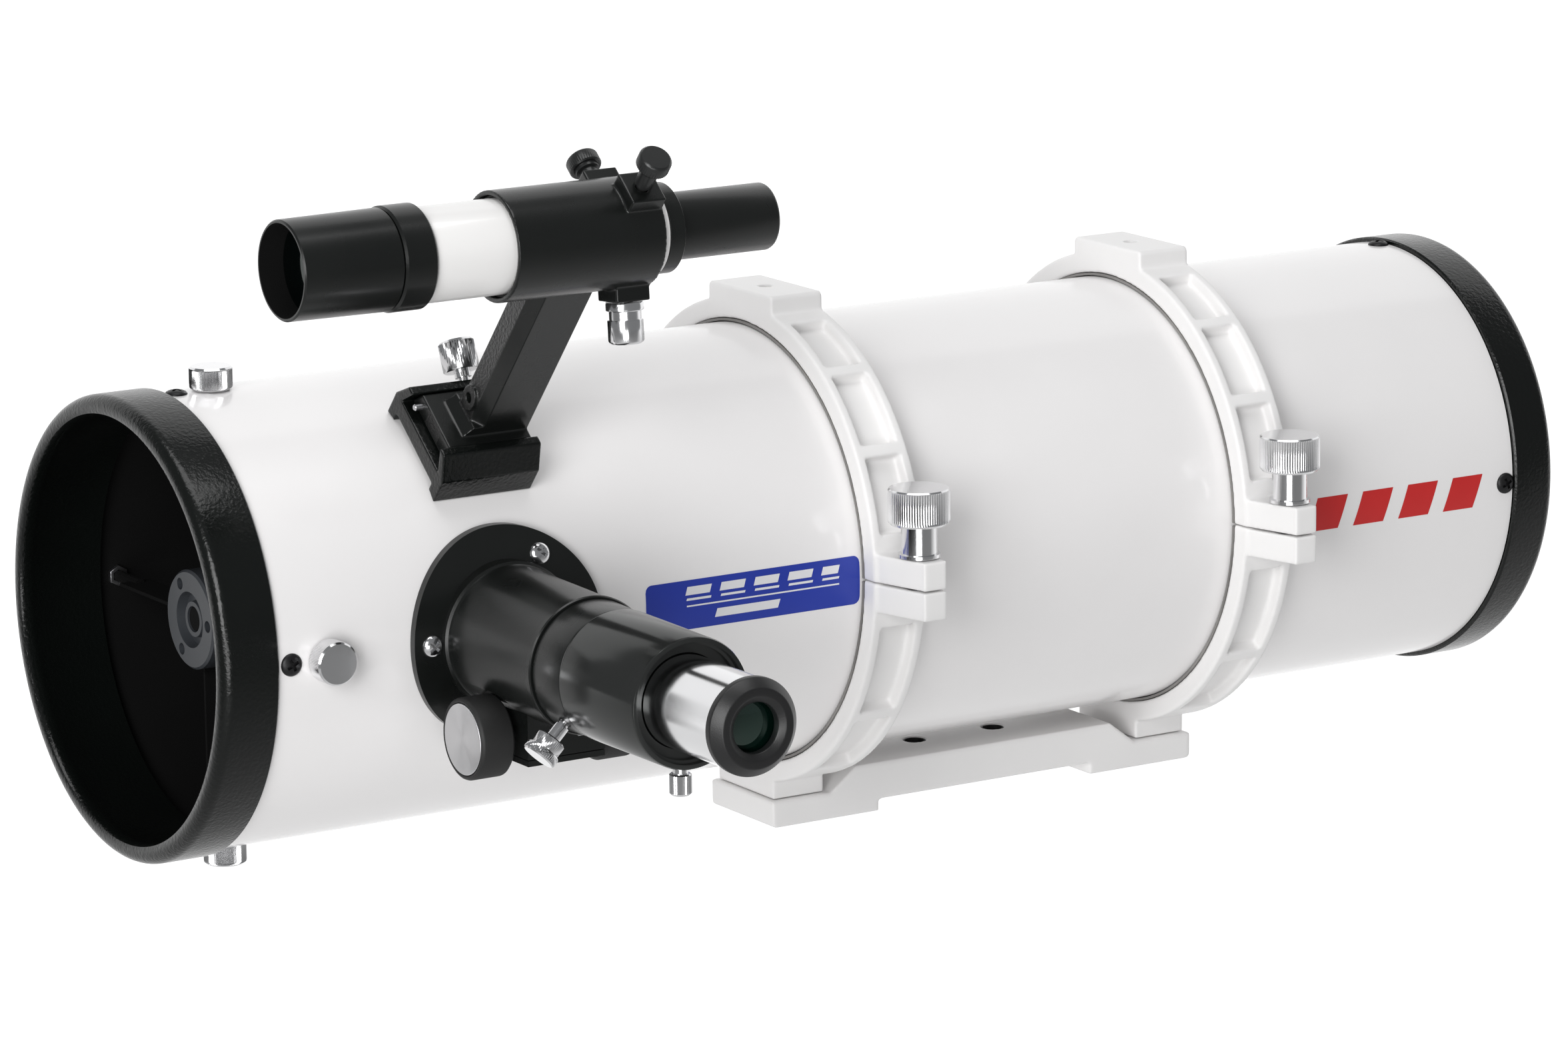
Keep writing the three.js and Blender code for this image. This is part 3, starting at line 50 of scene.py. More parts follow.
turn, rise, roll = math.radians(-31.99), math.radians(12.30), math.radians(-0.64)
back = Vector((math.sin(turn) * math.cos(rise), -math.cos(turn) * math.cos(rise), math.sin(rise)))
camera = bpy.data.objects.new("camera", bpy.data.cameras.new("camera"))
bpy.context.scene.collection.objects.link(camera)
camera.rotation_mode = "QUATERNION"
camera.location = Vector((-0.071, 0, 0.001 * AXIS)) + 2.3967 * back
camera.rotation_quaternion = (-back).to_track_quat("-Z", "Y") @ Quaternion((0, 0, 1), roll)
camera.data.sensor_width = 36
camera.data.lens = 150.3
camera.data.shift_x = -0.0042
camera.data.shift_y = 0.0067
camera.data.clip_end = 50
bpy.context.scene.camera = camera

# ---- studio ----------------------------------------------------------
# A pale paper sweep, floor and back wall in one, under three soft boxes. The
# telescope floats above it, as it would on a hidden stand. The paper also glows:
# painted light, dim on the floor in front and rising to near white on the back
# wall, which lights the telescope as a fill from below and behind.
scene = bpy.context.scene
scene.view_settings.view_transform = "Standard"
world = bpy.data.worlds.new("studio")
world.use_nodes = True
world.node_tree.nodes["Background"].inputs["Color"].default_value = (0.96, 0.98, 1, 1)
world.node_tree.nodes["Background"].inputs["Strength"].default_value = 0.22
scene.world = world

FLOOR = -0.62
WALL = 3.2
sweep_line = [(-9.0, FLOOR), (WALL - 1.5, FLOOR)]
for i in range(1, 13):
    bend = math.radians(90 * i / 12)
    sweep_line.append((WALL - 1.5 + 1.5 * math.sin(bend), FLOOR + 1.5 - 1.5 * math.cos(bend)))
sweep_line.append((WALL, 6.0))
sweep_points = [(side * 9, y, z) for side in (-1, 1) for y, z in sweep_line]
rows = len(sweep_line)
sweep_faces = [(i, i + 1, rows + i + 1, rows + i) for i in range(rows - 1)]
sweep_mesh = bpy.data.meshes.new("paper_sweep")
sweep_mesh.from_pydata(sweep_points, [], sweep_faces)
sweep_mesh.polygons.foreach_set("use_smooth", [True] * len(sweep_faces))
sweep = bpy.data.objects.new("paper_sweep", sweep_mesh)
scene.collection.objects.link(sweep)
sweep.matrix_world = Matrix.Rotation(turn, 4, "Z")
paper = bpy.data.materials.new("paper")
paper.use_nodes = True
paper_shader = paper.node_tree.nodes["Principled BSDF"]
paper_shader.inputs["Base Color"].default_value = (0.3, 0.3, 0.3, 1)
paper_shader.inputs["Roughness"].default_value = 0.9
# Painted light: the paper's emission follows its depth, 0.1 on the floor near the camera, rising to 0.95
# towards the back wall.
paper_place = paper.node_tree.nodes.new("ShaderNodeTexCoord")
paper_parts = paper.node_tree.nodes.new("ShaderNodeSeparateXYZ")
paper_reach = paper.node_tree.nodes.new("ShaderNodeMapRange")
paper_reach.inputs["From Min"].default_value = -2
paper_reach.inputs["From Max"].default_value = 2
paper_painted_glow = paper.node_tree.nodes.new("ShaderNodeValToRGB")
for place, glow in ((0.28, 0.1), (0.45, 0.4), (0.72, 0.72), (0.85, 0.95)):
    stop = paper_painted_glow.color_ramp.elements.new(place)
    stop.color = (glow, glow, glow, 1)
paper_painted_glow.color_ramp.elements.remove(paper_painted_glow.color_ramp.elements[-1])
paper_painted_glow.color_ramp.elements.remove(paper_painted_glow.color_ramp.elements[0])
paper_shader.inputs["Emission Strength"].default_value = 1
paper.node_tree.links.new(paper_place.outputs["Object"], paper_parts.inputs["Vector"])
paper.node_tree.links.new(paper_parts.outputs["Y"], paper_reach.inputs["Value"])
paper.node_tree.links.new(paper_reach.outputs["Result"], paper_painted_glow.inputs["Fac"])
paper.node_tree.links.new(paper_painted_glow.outputs["Color"], paper_shader.inputs["Emission Color"])
sweep_mesh.materials.append(paper)


def soft_box(name, position, size, power):
    light = bpy.data.lights.new(name, "AREA")
    light.shape = "RECTANGLE"
    light.size, light.size_y = size
    light.energy = power
    lamp = bpy.data.objects.new(name, light)
    scene.collection.objects.link(lamp)
    lamp.location = position
    aim = Vector((-0.05, 0, 0.1)) - Vector(position)
    lamp.rotation_mode = "QUATERNION"
    lamp.rotation_quaternion = aim.to_track_quat("-Z", "Y")


soft_box("top_box", (-0.3, -0.35, 2.0), (1.6, 0.9), 15)
soft_box("left_box", (-1.9, -1.4, 0.75), (1.0, 1.4), 34)
soft_box("low_box", (-1.3, -1.9, -0.2), (1.2, 0.6), 12)


# ---- mounting plate --------------------------------------------------
# A bar cast in aluminium, raised between two pads, painted white. The ring
# feet stand on the pads, and a mount head bolts up into the bar.
def surface(name, color, roughness, metallic=0.0, grain=500, relief=0.1, mottle=0.05, spread=0.08,
            depth=0.1, coat=0.0, detail=2.0):
    """A painted, plated or moulded skin. The grain is per metre, and its depth is in millimetres."""
    skin = bpy.data.materials.new(name)
    skin.use_nodes = True
    tree = skin.node_tree
    shader = tree.nodes["Principled BSDF"]
    shader.inputs["Metallic"].default_value = metallic
    shader.inputs["Coat Weight"].default_value = coat
    shader.inputs["Coat Roughness"].default_value = 0.1
    place = tree.nodes.new("ShaderNodeTexCoord")
    fine = tree.nodes.new("ShaderNodeTexNoise")
    fine.inputs["Scale"].default_value = grain
    fine.inputs["Detail"].default_value = detail
    bump = tree.nodes.new("ShaderNodeBump")
    bump.inputs["Strength"].default_value = relief
    bump.inputs["Distance"].default_value = 0.001 * depth
    broad = tree.nodes.new("ShaderNodeTexNoise")
    broad.inputs["Scale"].default_value = 26
    broad.inputs["Detail"].default_value = 4
    tone = tree.nodes.new("ShaderNodeValToRGB")
    tone.color_ramp.elements[0].position = 0.3
    tone.color_ramp.elements[0].color = (*[c * (1 - mottle) for c in color], 1)
    tone.color_ramp.elements[1].position = 0.7
    tone.color_ramp.elements[1].color = (*color, 1)
    gloss = tree.nodes.new("ShaderNodeMapRange")
    gloss.inputs["From Min"].default_value = 0.3
    gloss.inputs["From Max"].default_value = 0.7
    gloss.inputs["To Min"].default_value = max(0.02, roughness - spread / 2)
    gloss.inputs["To Max"].default_value = roughness + spread / 2
    link = tree.links.new
    link(place.outputs["Object"], fine.inputs["Vector"])
    link(place.outputs["Object"], broad.inputs["Vector"])
    link(fine.outputs["Fac"], bump.inputs["Height"])
    link(bump.outputs["Normal"], shader.inputs["Normal"])
    link(broad.outputs["Fac"], tone.inputs["Fac"])
    link(tone.outputs["Color"], shader.inputs["Base Color"])
    link(broad.outputs["Fac"], gloss.inputs["Value"])
    link(gloss.outputs["Result"], shader.inputs["Roughness"])
    return skin


def facing(origin, along, across=(0, 0, 1)):
    """A place, in millimetres. Local X runs along, and local Z leans across."""
    x = Vector(along).normalized()
    z = Vector(across) - x * x.dot(Vector(across))
    z.normalize()
    place = Matrix((x, z.cross(x), z)).transposed().to_4x4()
    place.translation = 0.001 * Vector(origin)
    return place


def prism(outline, low, high):
    """An outline in local (Y, Z), drawn along local X from low to high."""
    count = len(outline)
    points = [(low, *p) for p in outline] + [(high, *p) for p in outline]
    sides = [(i, (i + 1) % count, count + (i + 1) % count, count + i) for i in range(count)]
    return points, [tuple(range(count))[::-1], tuple(range(count, 2 * count)), *sides]


def turned(profile, steps=96):
    """[along, radius] points turned about local X. A third value is how deep a knurl cuts there."""
    closed = tuple(profile[0]) == tuple(profile[-1])
    rows = profile[:-1] if closed else profile
    points, rings = [], []
    for along, radius, *knurl in rows:
        depth = knurl[0] if knurl else 0
        count = steps if radius else 1
        rings.append(range(len(points), len(points) + count))
        for i in range(count):
            angle = 2 * math.pi * i / steps
            reach = radius - depth * (i % 2)
            points.append((along, reach * math.cos(angle), reach * math.sin(angle)))
    faces = []
    for low, high in list(zip(rings, rings[1:])) + ([(rings[-1], rings[0])] if closed else []):
        for i in range(steps if len(low) + len(high) > 2 else 0):
            j = (i + 1) % steps
            if len(low) == 1:
                faces.append((low[0], high[i], high[j]))
            elif len(high) == 1:
                faces.append((low[i], high[0], low[j]))
            else:
                faces.append((low[i], high[i], high[j], low[j]))
    return points, faces


def softened(profile, size=0.4, turns=3):
    """Rounds the corners of a profile."""
    closed = tuple(profile[0]) == tuple(profile[-1])
    rows = profile[:-1] if closed else profile
    made = []
    for i, row in enumerate(rows):
        corner = Vector(row[:2])
        u = Vector(rows[i - 1][:2]) - corner
        v = Vector(rows[(i + 1) % len(rows)][:2]) - corner
        ends = not closed and i in (0, len(rows) - 1)
        if ends or row[1] == 0 or u.angle(v) > math.radians(168):
            made.append(tuple(row))
            continue
        start = corner + u.normalized() * min(size, 0.4 * u.length)
        end = corner + v.normalized() * min(size, 0.4 * v.length)
        for k in range(turns + 1):
            t = k / turns
            p = start * (1 - t) ** 2 + corner * 2 * t * (1 - t) + end * t * t
            made.append((p.x, p.y, *row[2:]))
    return [*made, made[0]] if closed else made


def moved(shape, place):
    points, faces = shape
    to_metres = Matrix.Scale(0.001, 4)
    return [tuple(1000 * (place @ to_metres @ Vector(p))) for p in points], faces


def mesh_of(name, shape):
    points, faces = shape
    mesh = bpy.data.meshes.new(name)
    mesh.from_pydata([tuple(0.001 * c for c in p) for p in points], [], faces)
    work = bmesh.new()
    work.from_mesh(mesh)
    bmesh.ops.recalc_face_normals(work, faces=work.faces)
    work.to_mesh(mesh)
    work.free()
    return mesh


def settled(thing):
    """The mesh that a thing's modifiers give."""
    graph = bpy.context.evaluated_depsgraph_get()
    mesh = bpy.data.meshes.new_from_object(thing.evaluated_get(graph))
    bpy.data.objects.remove(thing)
    return mesh


def loose(name, shape):
    mesh = shape if isinstance(shape, bpy.types.Mesh) else mesh_of(name, shape)
    thing = bpy.data.objects.new(name, mesh)
    scene.collection.objects.link(thing)
    return thing


def built(shapes, cuts=()):
    """Shapes joined into one mesh, with the cuts taken out of it."""
    whole = loose("whole", shapes[0])
    tools = [(s, "UNION") for s in shapes[1:]] + [(s, "DIFFERENCE") for s in cuts]
    used = []
    for shape, operation in tools:
        tool = loose("tool", shape)
        step = whole.modifiers.new("step", "BOOLEAN")
        step.operation = operation
        step.solver = "MANIFOLD"
        step.object = tool
        used.append(tool)
    mesh = settled(whole)
    for tool in used:
        bpy.data.objects.remove(tool)
    return mesh


def cast(shapes, cuts=(), voxel=0.6, rounds=4):
    """A casting: the shapes in one skin, with every edge and inner corner rounded."""
    thing = loose("casting", built(shapes, cuts))
    skin = thing.modifiers.new("skin", "REMESH")
    skin.mode = "VOXEL"
    skin.voxel_size = 0.001 * voxel
    soften = thing.modifiers.new("soften", "SMOOTH")
    soften.factor = 0.5
    soften.iterations = rounds
    return settled(thing)


def add(name, shape, place, body, skin, stands_for=(), crease=38):
    """One finished piece, which rides on a body and stands for CAD nodes."""
    mesh = shape if isinstance(shape, bpy.types.Mesh) else mesh_of(name, shape)
    mesh.polygons.foreach_set("use_smooth", [True] * len(mesh.polygons))
    if crease:
        mesh.set_sharp_from_angle(angle=math.radians(crease))
    mesh.materials.clear()
    mesh.materials.append(skin)
    thing = bpy.data.objects.new(name, mesh)
    scene.collection.objects.link(thing)
    thing.matrix_world = place
    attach(thing, body)
    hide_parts(*stands_for)
    return thing


def dress(node, skin):
    """A CAD node that shows as it is, with a better skin."""
    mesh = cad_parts[node].data
    mesh.materials.clear()
    mesh.materials.append(skin)


white_casting = surface("white_casting", (0.86, 0.85, 0.845), 0.42, grain=900, relief=0.25, mottle=0.03)
zinc = surface("zinc", (0.62, 0.62, 0.64), 0.32, metallic=1, grain=1500, relief=0.1, mottle=0.15)
GAP = 0.3
BAR_TOP, PAD_DROP, PAD_TOP = 14, 4.5, 5.5
PLATE_HALF, PAD_INNER = 93.3, 47
RING_MIDDLE, MOUNT_HOLE = 80.75, 17.5
side = [(67.75, PAD_TOP), (PLATE_HALF, PAD_TOP), (PLATE_HALF, -PAD_DROP + 1.2),
        (PLATE_HALF - 1.2, -PAD_DROP), (PAD_INNER, -PAD_DROP), (PAD_INNER, 0)]
plate_outline = [(-56.75, BAR_TOP), (56.75, BAR_TOP), *side, *[(-x, z) for x, z in side[::-1]]]
mount_holes = [moved(turned([(-9, 0), (-9, 4.25), (19, 4.25), (19, 0)], 32),
                     facing((x, 0, 0), (0, 0, 1), (1, 0, 0)))
               for x in (-MOUNT_HOLE, MOUNT_HOLE)]
bolt_holes = [moved(turned([(-9, 0), (-9, 5.5), (0.5, 5.5), (0.5, 3.3), (9, 3.3), (9, 0)], 32),
                    facing((x, 0, 0), (0, 0, 1), (1, 0, 0))) for x in (-RING_MIDDLE, RING_MIDDLE)]
along_y = facing((0, 0, 0), (0, -1, 0), (0, 0, 1))
plate_mesh = cast([moved(prism(plate_outline, -21.5, 21.5), along_y)], [*mount_holes, *bolt_holes], voxel=0.7)
add("plate", plate_mesh, Matrix(), "saddle", white_casting, ["mounting_plate"], 0)
for end in ("front", "rear"):
    dress(f"plate_bolt_{end}", zinc)
# Painted shade: a thin black lining inside each mount hole darkens the hole's wall, where shade falls; it is
# no part of the real plate.
hole_shade_black = surface("hole_shade_black", (0.012, 0.012, 0.012), 0.6, grain=1500, relief=0.3, mottle=0.3)
for end, x in (("front", -MOUNT_HOLE), ("rear", MOUNT_HOLE)):
    shade_lining_line = [(1, 3.7), (1, 4.2), (BAR_TOP - GAP, 4.2), (BAR_TOP - GAP, 3.7), (1, 3.7)]
    add(f"mount_hole_painted_shade_{end}", turned(shade_lining_line, 48), facing((x, 0, 0), (0, 0, 1), (1, 0, 0)),
        "saddle", hole_shade_black)

# ---- tube rings ------------------------------------------------------
# Each ring is two white castings hinged on the far side: channels with ribs
# across them, a boss on top, a foot below, and lugs that the clamp draws shut.
felt = surface("felt", (0.3, 0.29, 0.28), 0.95, grain=2500, relief=0.8, mottle=0.4)
chrome = surface("chrome", (0.78, 0.78, 0.79), 0.15, metallic=1, grain=300, relief=0.02, mottle=0.05,
                 spread=0.05)
RING_HALF, RING_BORE, RING_OUTER = 11, 81.5, 89
FLANGE_INNER, POCKET_RADIUS = 7.2, 84.5
LUG_HALF, LUG_REACH, CLAMP_REACH = 10.5, 111.5, 101


def rim_point(radius, degrees):
    """A point on a circle about local X, from the top towards the near side."""
    angle = math.radians(degrees)
    return (-radius * math.sin(angle), radius * math.cos(angle))


def arc(inner, outer, start, stop):
    count = max(2, round(abs(stop - start) / 2))
    turns = [start + (stop - start) * i / count for i in range(count + 1)]
    return [rim_point(outer, a) for a in turns] + [rim_point(inner, a) for a in turns[::-1]]


def lug(low, high):
    plan = [(-RING_HALF, 85), (-9, 94), (-4.7, 110.1), (-4.7, LUG_REACH), (4.7, LUG_REACH),
            (4.7, 110.1), (9, 94), (RING_HALF, 85)]
    return moved(prism([(x, y) for x, y in plan], low, high), facing((0, 0, 0), (0, 0, 1), (0, -1, 0)))


def ring_half(upper):
    sign = 1 if upper else -1
    split = 0.35 * sign
    start, stop = (-90, 90) if upper else (90, 270)
    outside = 91
    shapes = [prism(arc(RING_BORE, RING_OUTER, start, stop), -RING_HALF, RING_HALF)]
    if upper:
        boss = [(-21.5, 84), (21.5, 84), (21.5, 92), (20.5, 93), (-20.5, 93), (-21.5, 92)]
        shapes.append(prism(boss, -RING_HALF, RING_HALF))
    else:
        foot = [(-19, -84), (19, -84), (19, -93.7), (-19, -93.7)]
        shapes.append(prism(foot, -RING_HALF, RING_HALF))
    shapes.append(lug(*sorted((split, sign * LUG_HALF))))
    knuckles = [(-11, -4), (4, 11)] if upper else [(-3.6, 3.6)]
    for low, high in knuckles:
        shapes.append(moved(turned([(low, 0), (low, 4.9), (high, 4.9), (high, 0)], 32),
                            facing((0, 96, 0), (1, 0, 0))))
        shapes.append(prism([(86, split), (96, split), (96, sign * 5), (86, sign * 5)], low, high))
    spans = [(19, 36), (39, 58), (61, 79)] if upper else [(101, 125), (128, 151)]
    cuts = []
    for low, high in spans:
        for from_top, to_top in ((low, high), (-high, -low)):
            cuts.append(prism(arc(POCKET_RADIUS, outside, from_top, to_top), -FLANGE_INNER, FLANGE_INNER))
    hole = 3.4 if upper else 4.4
    cuts.append(moved(turned([(-20, 0), (-20, hole), (20, hole), (20, 0)], 32),
                      facing((0, -CLAMP_REACH, 0), (0, 0, 1), (1, 0, 0))))
    if upper:
        cuts.append(moved(turned([(86, 0), (86, 2.5), (99, 2.5), (99, 0)], 24),
                          facing((0, 0, 0), (0, 0, 1), (1, 0, 0))))
    cuts.append(prism([(-120, 0), (-120, split), (120, split), (120, 0)], -20, 20))
    cuts.append(prism(arc(60, RING_BORE, start - 5, stop + 5), -20, 20))
    return cast(shapes, cuts, voxel=0.65)


upper_mesh, lower_mesh = ring_half(True), ring_half(False)
clamp_profile = [(-10, 0), (-10, 3), (10.9, 3), (10.9, 7.5), (12.1, 7.5), (12.1, 6.45), (22.7, 6.45),
                 (22.7, 10.2), (23.6, 11), (24.4, 11, 0.3), (34.6, 11, 0.3), (35.2, 11), (35.7, 10.5),
                 (35.7, 0)]
clamp_shape = turned(clamp_profile, 160)
for end, where in (("front", -RING_MIDDLE), ("rear", RING_MIDDLE)):
    place = facing((where, 0, AXIS), (1, 0, 0))
    add(f"ring_top_{end}_casting", upper_mesh.copy(), place, f"ring_top_{end}",
        white_casting, [f"ring_upper_{end}"], 0)
    add(f"ring_base_{end}_casting", lower_mesh.copy(), place, "saddle", white_casting,
        [f"ring_lower_{end}"], 0)
    for half, span, body in (("upper", (-89.6, 89.6), f"ring_top_{end}"), ("lower", (90.4, 269.6), "saddle")):
        strip = prism(arc(80.4, 81.3, *span), -10.8, 10.8)
        add(f"felt_{half}_{end}", strip, place, body, felt, [f"ring_liner_{half}_{end}"])
    dress(f"ring_hinge_pin_{end}", zinc)
    stand = facing((where, -CLAMP_REACH, AXIS), (0, 0, 1), (1, 0, 0))
    add(f"clamp_knob_{end}", clamp_shape, stand, f"clamp_{end}", chrome,
        [f"clamp_screw_{end}"])

# ---- main tube -------------------------------------------------------
# Rolled steel tube with white gloss enamel outside and matt black inside, and a
# blue label and a red band of marks printed on its near side.
enamel = surface("enamel", (0.875, 0.86, 0.858), 0.3, grain=60, relief=0.04, mottle=0.015, spread=0.04,
                 coat=0.5)
flock = surface("flock", (0.004, 0.004, 0.004), 0.97, grain=1800, relief=0.5, mottle=0.3)
flock.node_tree.nodes["Principled BSDF"].inputs["Specular IOR Level"].default_value = 0.15
TUBE_R, TUBE_FRONT, TUBE_REAR = 80, 1000 * tube_low.x, 1000 * tube_high.x
FOCUSER_X, SPIDER_X = -237, -306
shell = turned([(TUBE_FRONT, TUBE_R), (TUBE_REAR, TUBE_R), (TUBE_REAR, 78.8), (TUBE_FRONT, 78.8),
                (TUBE_FRONT, TUBE_R)], 240)
SIDES = {"top": (0, 0, 1), "bottom": (0, 0, -1), "near": (0, -1, 0), "far": (0, 1, 0)}
draw_hole = moved(turned([(60, 0), (60, 23.4), (100, 23.4), (100, 0)], 64),
                  facing((FOCUSER_X, 0, 0), (0, -1, 0)))
stud_holes = [moved(turned([(60, 0), (60, 2.3), (100, 2.3), (100, 0)], 24),
                    facing((SPIDER_X, 0, 0), to, (1, 0, 0)))
              for to in SIDES.values()]
tube_mesh = built([shell], [draw_hole, *stud_holes])
on_axis = facing((0, 0, AXIS), (1, 0, 0))
add("tube_shell", tube_mesh, on_axis, "tube", enamel, ["main_tube"], 30)
tube_mesh.materials.append(flock)
for face in tube_mesh.polygons:
    middle = face.center
    if math.hypot(middle.y, middle.z) < 0.0795:
        face.material_index = 1


def decal(name, x_range, angles, skin, corner=0.0, slant=0.0, lift=0.06):
    """A printed patch on the tube, with rounded corners, between two angles from the top."""
    (x0, x1), (a0, a1) = x_range, angles
    per_mm = math.degrees(1 / TUBE_R)
    columns = max(4, round((x1 - x0) / (0.25 if corner else 1.5)))
    rows = 12
    points = []
    for i in range(columns + 1):
        x = x0 + (x1 - x0) * i / columns
        inset = 0
        edge = min(x - x0, x1 - x)
        if edge < corner:
            inset = corner - math.sqrt(max(0, corner ** 2 - (corner - edge) ** 2))
        for j in range(rows + 1):
            share = j / rows
            angle = a0 + inset * per_mm + (a1 - a0 - 2 * inset * per_mm) * share
            y, z = rim_point(TUBE_R + lift, angle)
            points.append((x + slant * (0.5 - share), y, z))
    faces = [(i * (rows + 1) + j, (i + 1) * (rows + 1) + j, (i + 1) * (rows + 1) + j + 1,
              i * (rows + 1) + j + 1)
             for i in range(columns) for j in range(rows)]
    return add(name, (points, faces), on_axis, "tube", skin)


label_blue = surface("label_blue", (0.02, 0.045, 0.38), 0.3, grain=800, relief=0.05, mottle=0.1)
print_white = surface("print_white", (0.8, 0.8, 0.82), 0.35, grain=800, relief=0.05, mottle=0.05)
print_red = surface("print_red", (0.6, 0.02, 0.02), 0.35, grain=800, relief=0.05, mottle=0.1)
decal("label", (-180.5, -92.3), (83.6, 96.2), label_blue, corner=2.6)
for i, (start, length) in enumerate([(-164, 10), (-150, 10), (-136, 10), (-122, 10), (-108, 7)]):
    decal(f"label_bar_{i + 1}", (start, start + length), (85.3, 87.4), print_white, slant=1.0, lift=0.1)
    decal(f"label_bar_low_{i + 1}", (start, start + length), (88.2, 88.8), print_white, slant=0.3, lift=0.1)
decal("label_line", (-164, -101), (90.0, 90.4), print_white, lift=0.1)
decal("label_dash", (-152, -126), (91.8, 94.0), print_white, slant=1.0, lift=0.1)
for i in range(4):
    decal(f"red_mark_{i + 1}", (107 + 21 * i, 121 + 21 * i), (86.5, 95.4), print_red, slant=4.5, lift=0.05)

# ---- end rings -------------------------------------------------------
# Cast aluminium caps over the tube's two ends, in glossy hammered black paint,
# each held by four black cross-head screws through the tube.
hammered = surface("hammered", (0.004, 0.005, 0.0045), 0.22, grain=750, relief=0.5, mottle=0.2, depth=0.35,
                   coat=0.1)
hammered.node_tree.nodes["Principled BSDF"].inputs["Specular IOR Level"].default_value = 0.28
black_oxide = surface("black_oxide", (0.02, 0.02, 0.021), 0.38, metallic=0.6, grain=1200, relief=0.1,
                      mottle=0.2)
FRONT_RING, REAR_RING, RING_END_R, OPENING_R = 21.5, 19, 81.75, 74.8
SPIGOT_OUT, SPIGOT_IN, SPIGOT = 78.5, 75.5, 10.5


def end_ring(length, opening):
    rim = [(4 * (1 - math.sin(math.radians(a))), RING_END_R - 4 * (1 - math.cos(math.radians(a))))
           for a in (90, 75, 60, 45, 30, 15, 0)]
    return [(1.5, opening), (0.4, opening + 0.5), (0, opening + 1.5), *rim, (length - 0.9, RING_END_R),
            (length - 0.3, RING_END_R - 0.6), (length - 0.3, SPIGOT_OUT), (length + SPIGOT, SPIGOT_OUT),
            (length + SPIGOT, SPIGOT_IN), (6, SPIGOT_IN), (5, opening), (1.5, opening)]


WEB_FRONT, WEB_REAR, COLLIMATION_R = 209.5, 213.5, 55
collimation_places = [rim_point(COLLIMATION_R, a) for a in (60, 180, 300)]
screw_holes = [moved(turned([(195, 0), (195, 2.8), (220, 2.8), (220, 0)], 32), facing((0, y, z), (1, 0, 0)))
               for y, z in collimation_places]
web_profile = [(WEB_FRONT, 76.5), (WEB_FRONT, 26.6), (WEB_FRONT + 0.6, 26), (WEB_REAR - 0.6, 26),
               (WEB_REAR, 26.6), (WEB_REAR, 76.5), (WEB_FRONT, 76.5)]
front_shape = moved(turned(end_ring(FRONT_RING, OPENING_R), 240),
                    facing((TUBE_FRONT - FRONT_RING, 0, 0), (1, 0, 0)))
rear_shape = moved(turned(end_ring(REAR_RING, SPIGOT_IN - 1), 240),
                   facing((TUBE_REAR + REAR_RING, 0, 0), (-1, 0, 0)))
add("front_ring_casting", front_shape, on_axis, "tube", hammered, ["front_end_ring"])
rear_mesh = built([rear_shape, turned(web_profile, 240)], screw_holes)
add("rear_ring_casting", rear_mesh, on_axis, "tube", hammered, ["rear_end_ring"])


def cross_head(radius, height, recess):
    """A domed screw head with a cross recess, standing on local X = 0."""
    dome = [(-1, 0), (-1, radius)] + [(height * math.sin(math.radians(a)), radius * math.cos(math.radians(a)))
                                     for a in (10, 30, 50, 70, 82)] + [(height, 0)]
    arm, half = 0.55 * radius, 0.14 * radius
    floor, top = height - recess, height + 1
    cuts = [prism([(-arm, -half), (arm, -half), (arm, half), (-arm, half)], floor, top),
            prism([(-half, -arm), (half, -arm), (half, arm), (-half, arm)], floor, top)]
    return built([turned(dome, 48)], cuts)


pan_head = cross_head(4.0, 1.7, 1.1)
for x in (TUBE_FRONT + 5, TUBE_REAR - 3.5):
    which = "front" if x < 0 else "rear"
    for side_name, out in SIDES.items():
        seat = facing(Vector((x, 0, AXIS)) + TUBE_R * Vector(out), out, (1, 0.6, 0.5))
        add(f"{which}_ring_screw_{side_name}", pan_head.copy(), seat, "tube", black_oxide)

# ---- primary mirror and cell -----------------------------------------
# A ground glass disk with an aluminised face, in a black dish with three clips.
# Three chrome screws through the rear ring's web tilt the dish against springs.
coating = surface("coating", (0.93, 0.94, 0.95), 0.02, metallic=1, grain=40, relief=0.0, mottle=0.02,
                  spread=0.01)
ground_glass = surface("ground_glass", (0.45, 0.52, 0.5), 0.5, grain=1500, relief=0.3, mottle=0.1)
MIRROR_R, MIRROR_FACE, MIRROR_REAR, FOCAL = 65, 181.2, 199.2, 650
bowl = [(MIRROR_FACE + (MIRROR_R ** 2 - (64.2 * i / 12) ** 2) / (4 * FOCAL),
         64.2 * i / 12) for i in range(13)]
mirror = add("mirror_blank", turned([*bowl, (MIRROR_FACE + 0.8, MIRROR_R), (MIRROR_REAR, MIRROR_R),
                                     (MIRROR_REAR, 0)], 160),
             on_axis, "tube", coating, ["primary_mirror"])
mirror.data.materials.append(ground_glass)
for face in mirror.data.polygons:
    if face.normal.x > -0.5:
        face.material_index = 1
cell_profile = softened([(199.5, 20), (199.5, 65.3), (193.5, 65.3), (193.5, 72.5), (205.5, 72.5),
                         (205.5, 20), (199.5, 20)], 0.8)
clips = []
for clip_turn in (0, 120, 240):
    swing = facing((0, 0, 0), (1, 0, 0), (0, *rim_point(1, clip_turn)))
    clips.append(moved(prism([(-6, 65.6), (6, 65.6), (6, 72), (-6, 72)], 178.2, 199.5), swing))
    clips.append(moved(prism([(-6, 62), (6, 62), (6, 72), (-6, 72)], 178.2, 180.9), swing))
dish = built([turned(cell_profile, 160), *clips], screw_holes)
add("mirror_dish", dish, on_axis, "tube", flock, ["mirror_cell"])
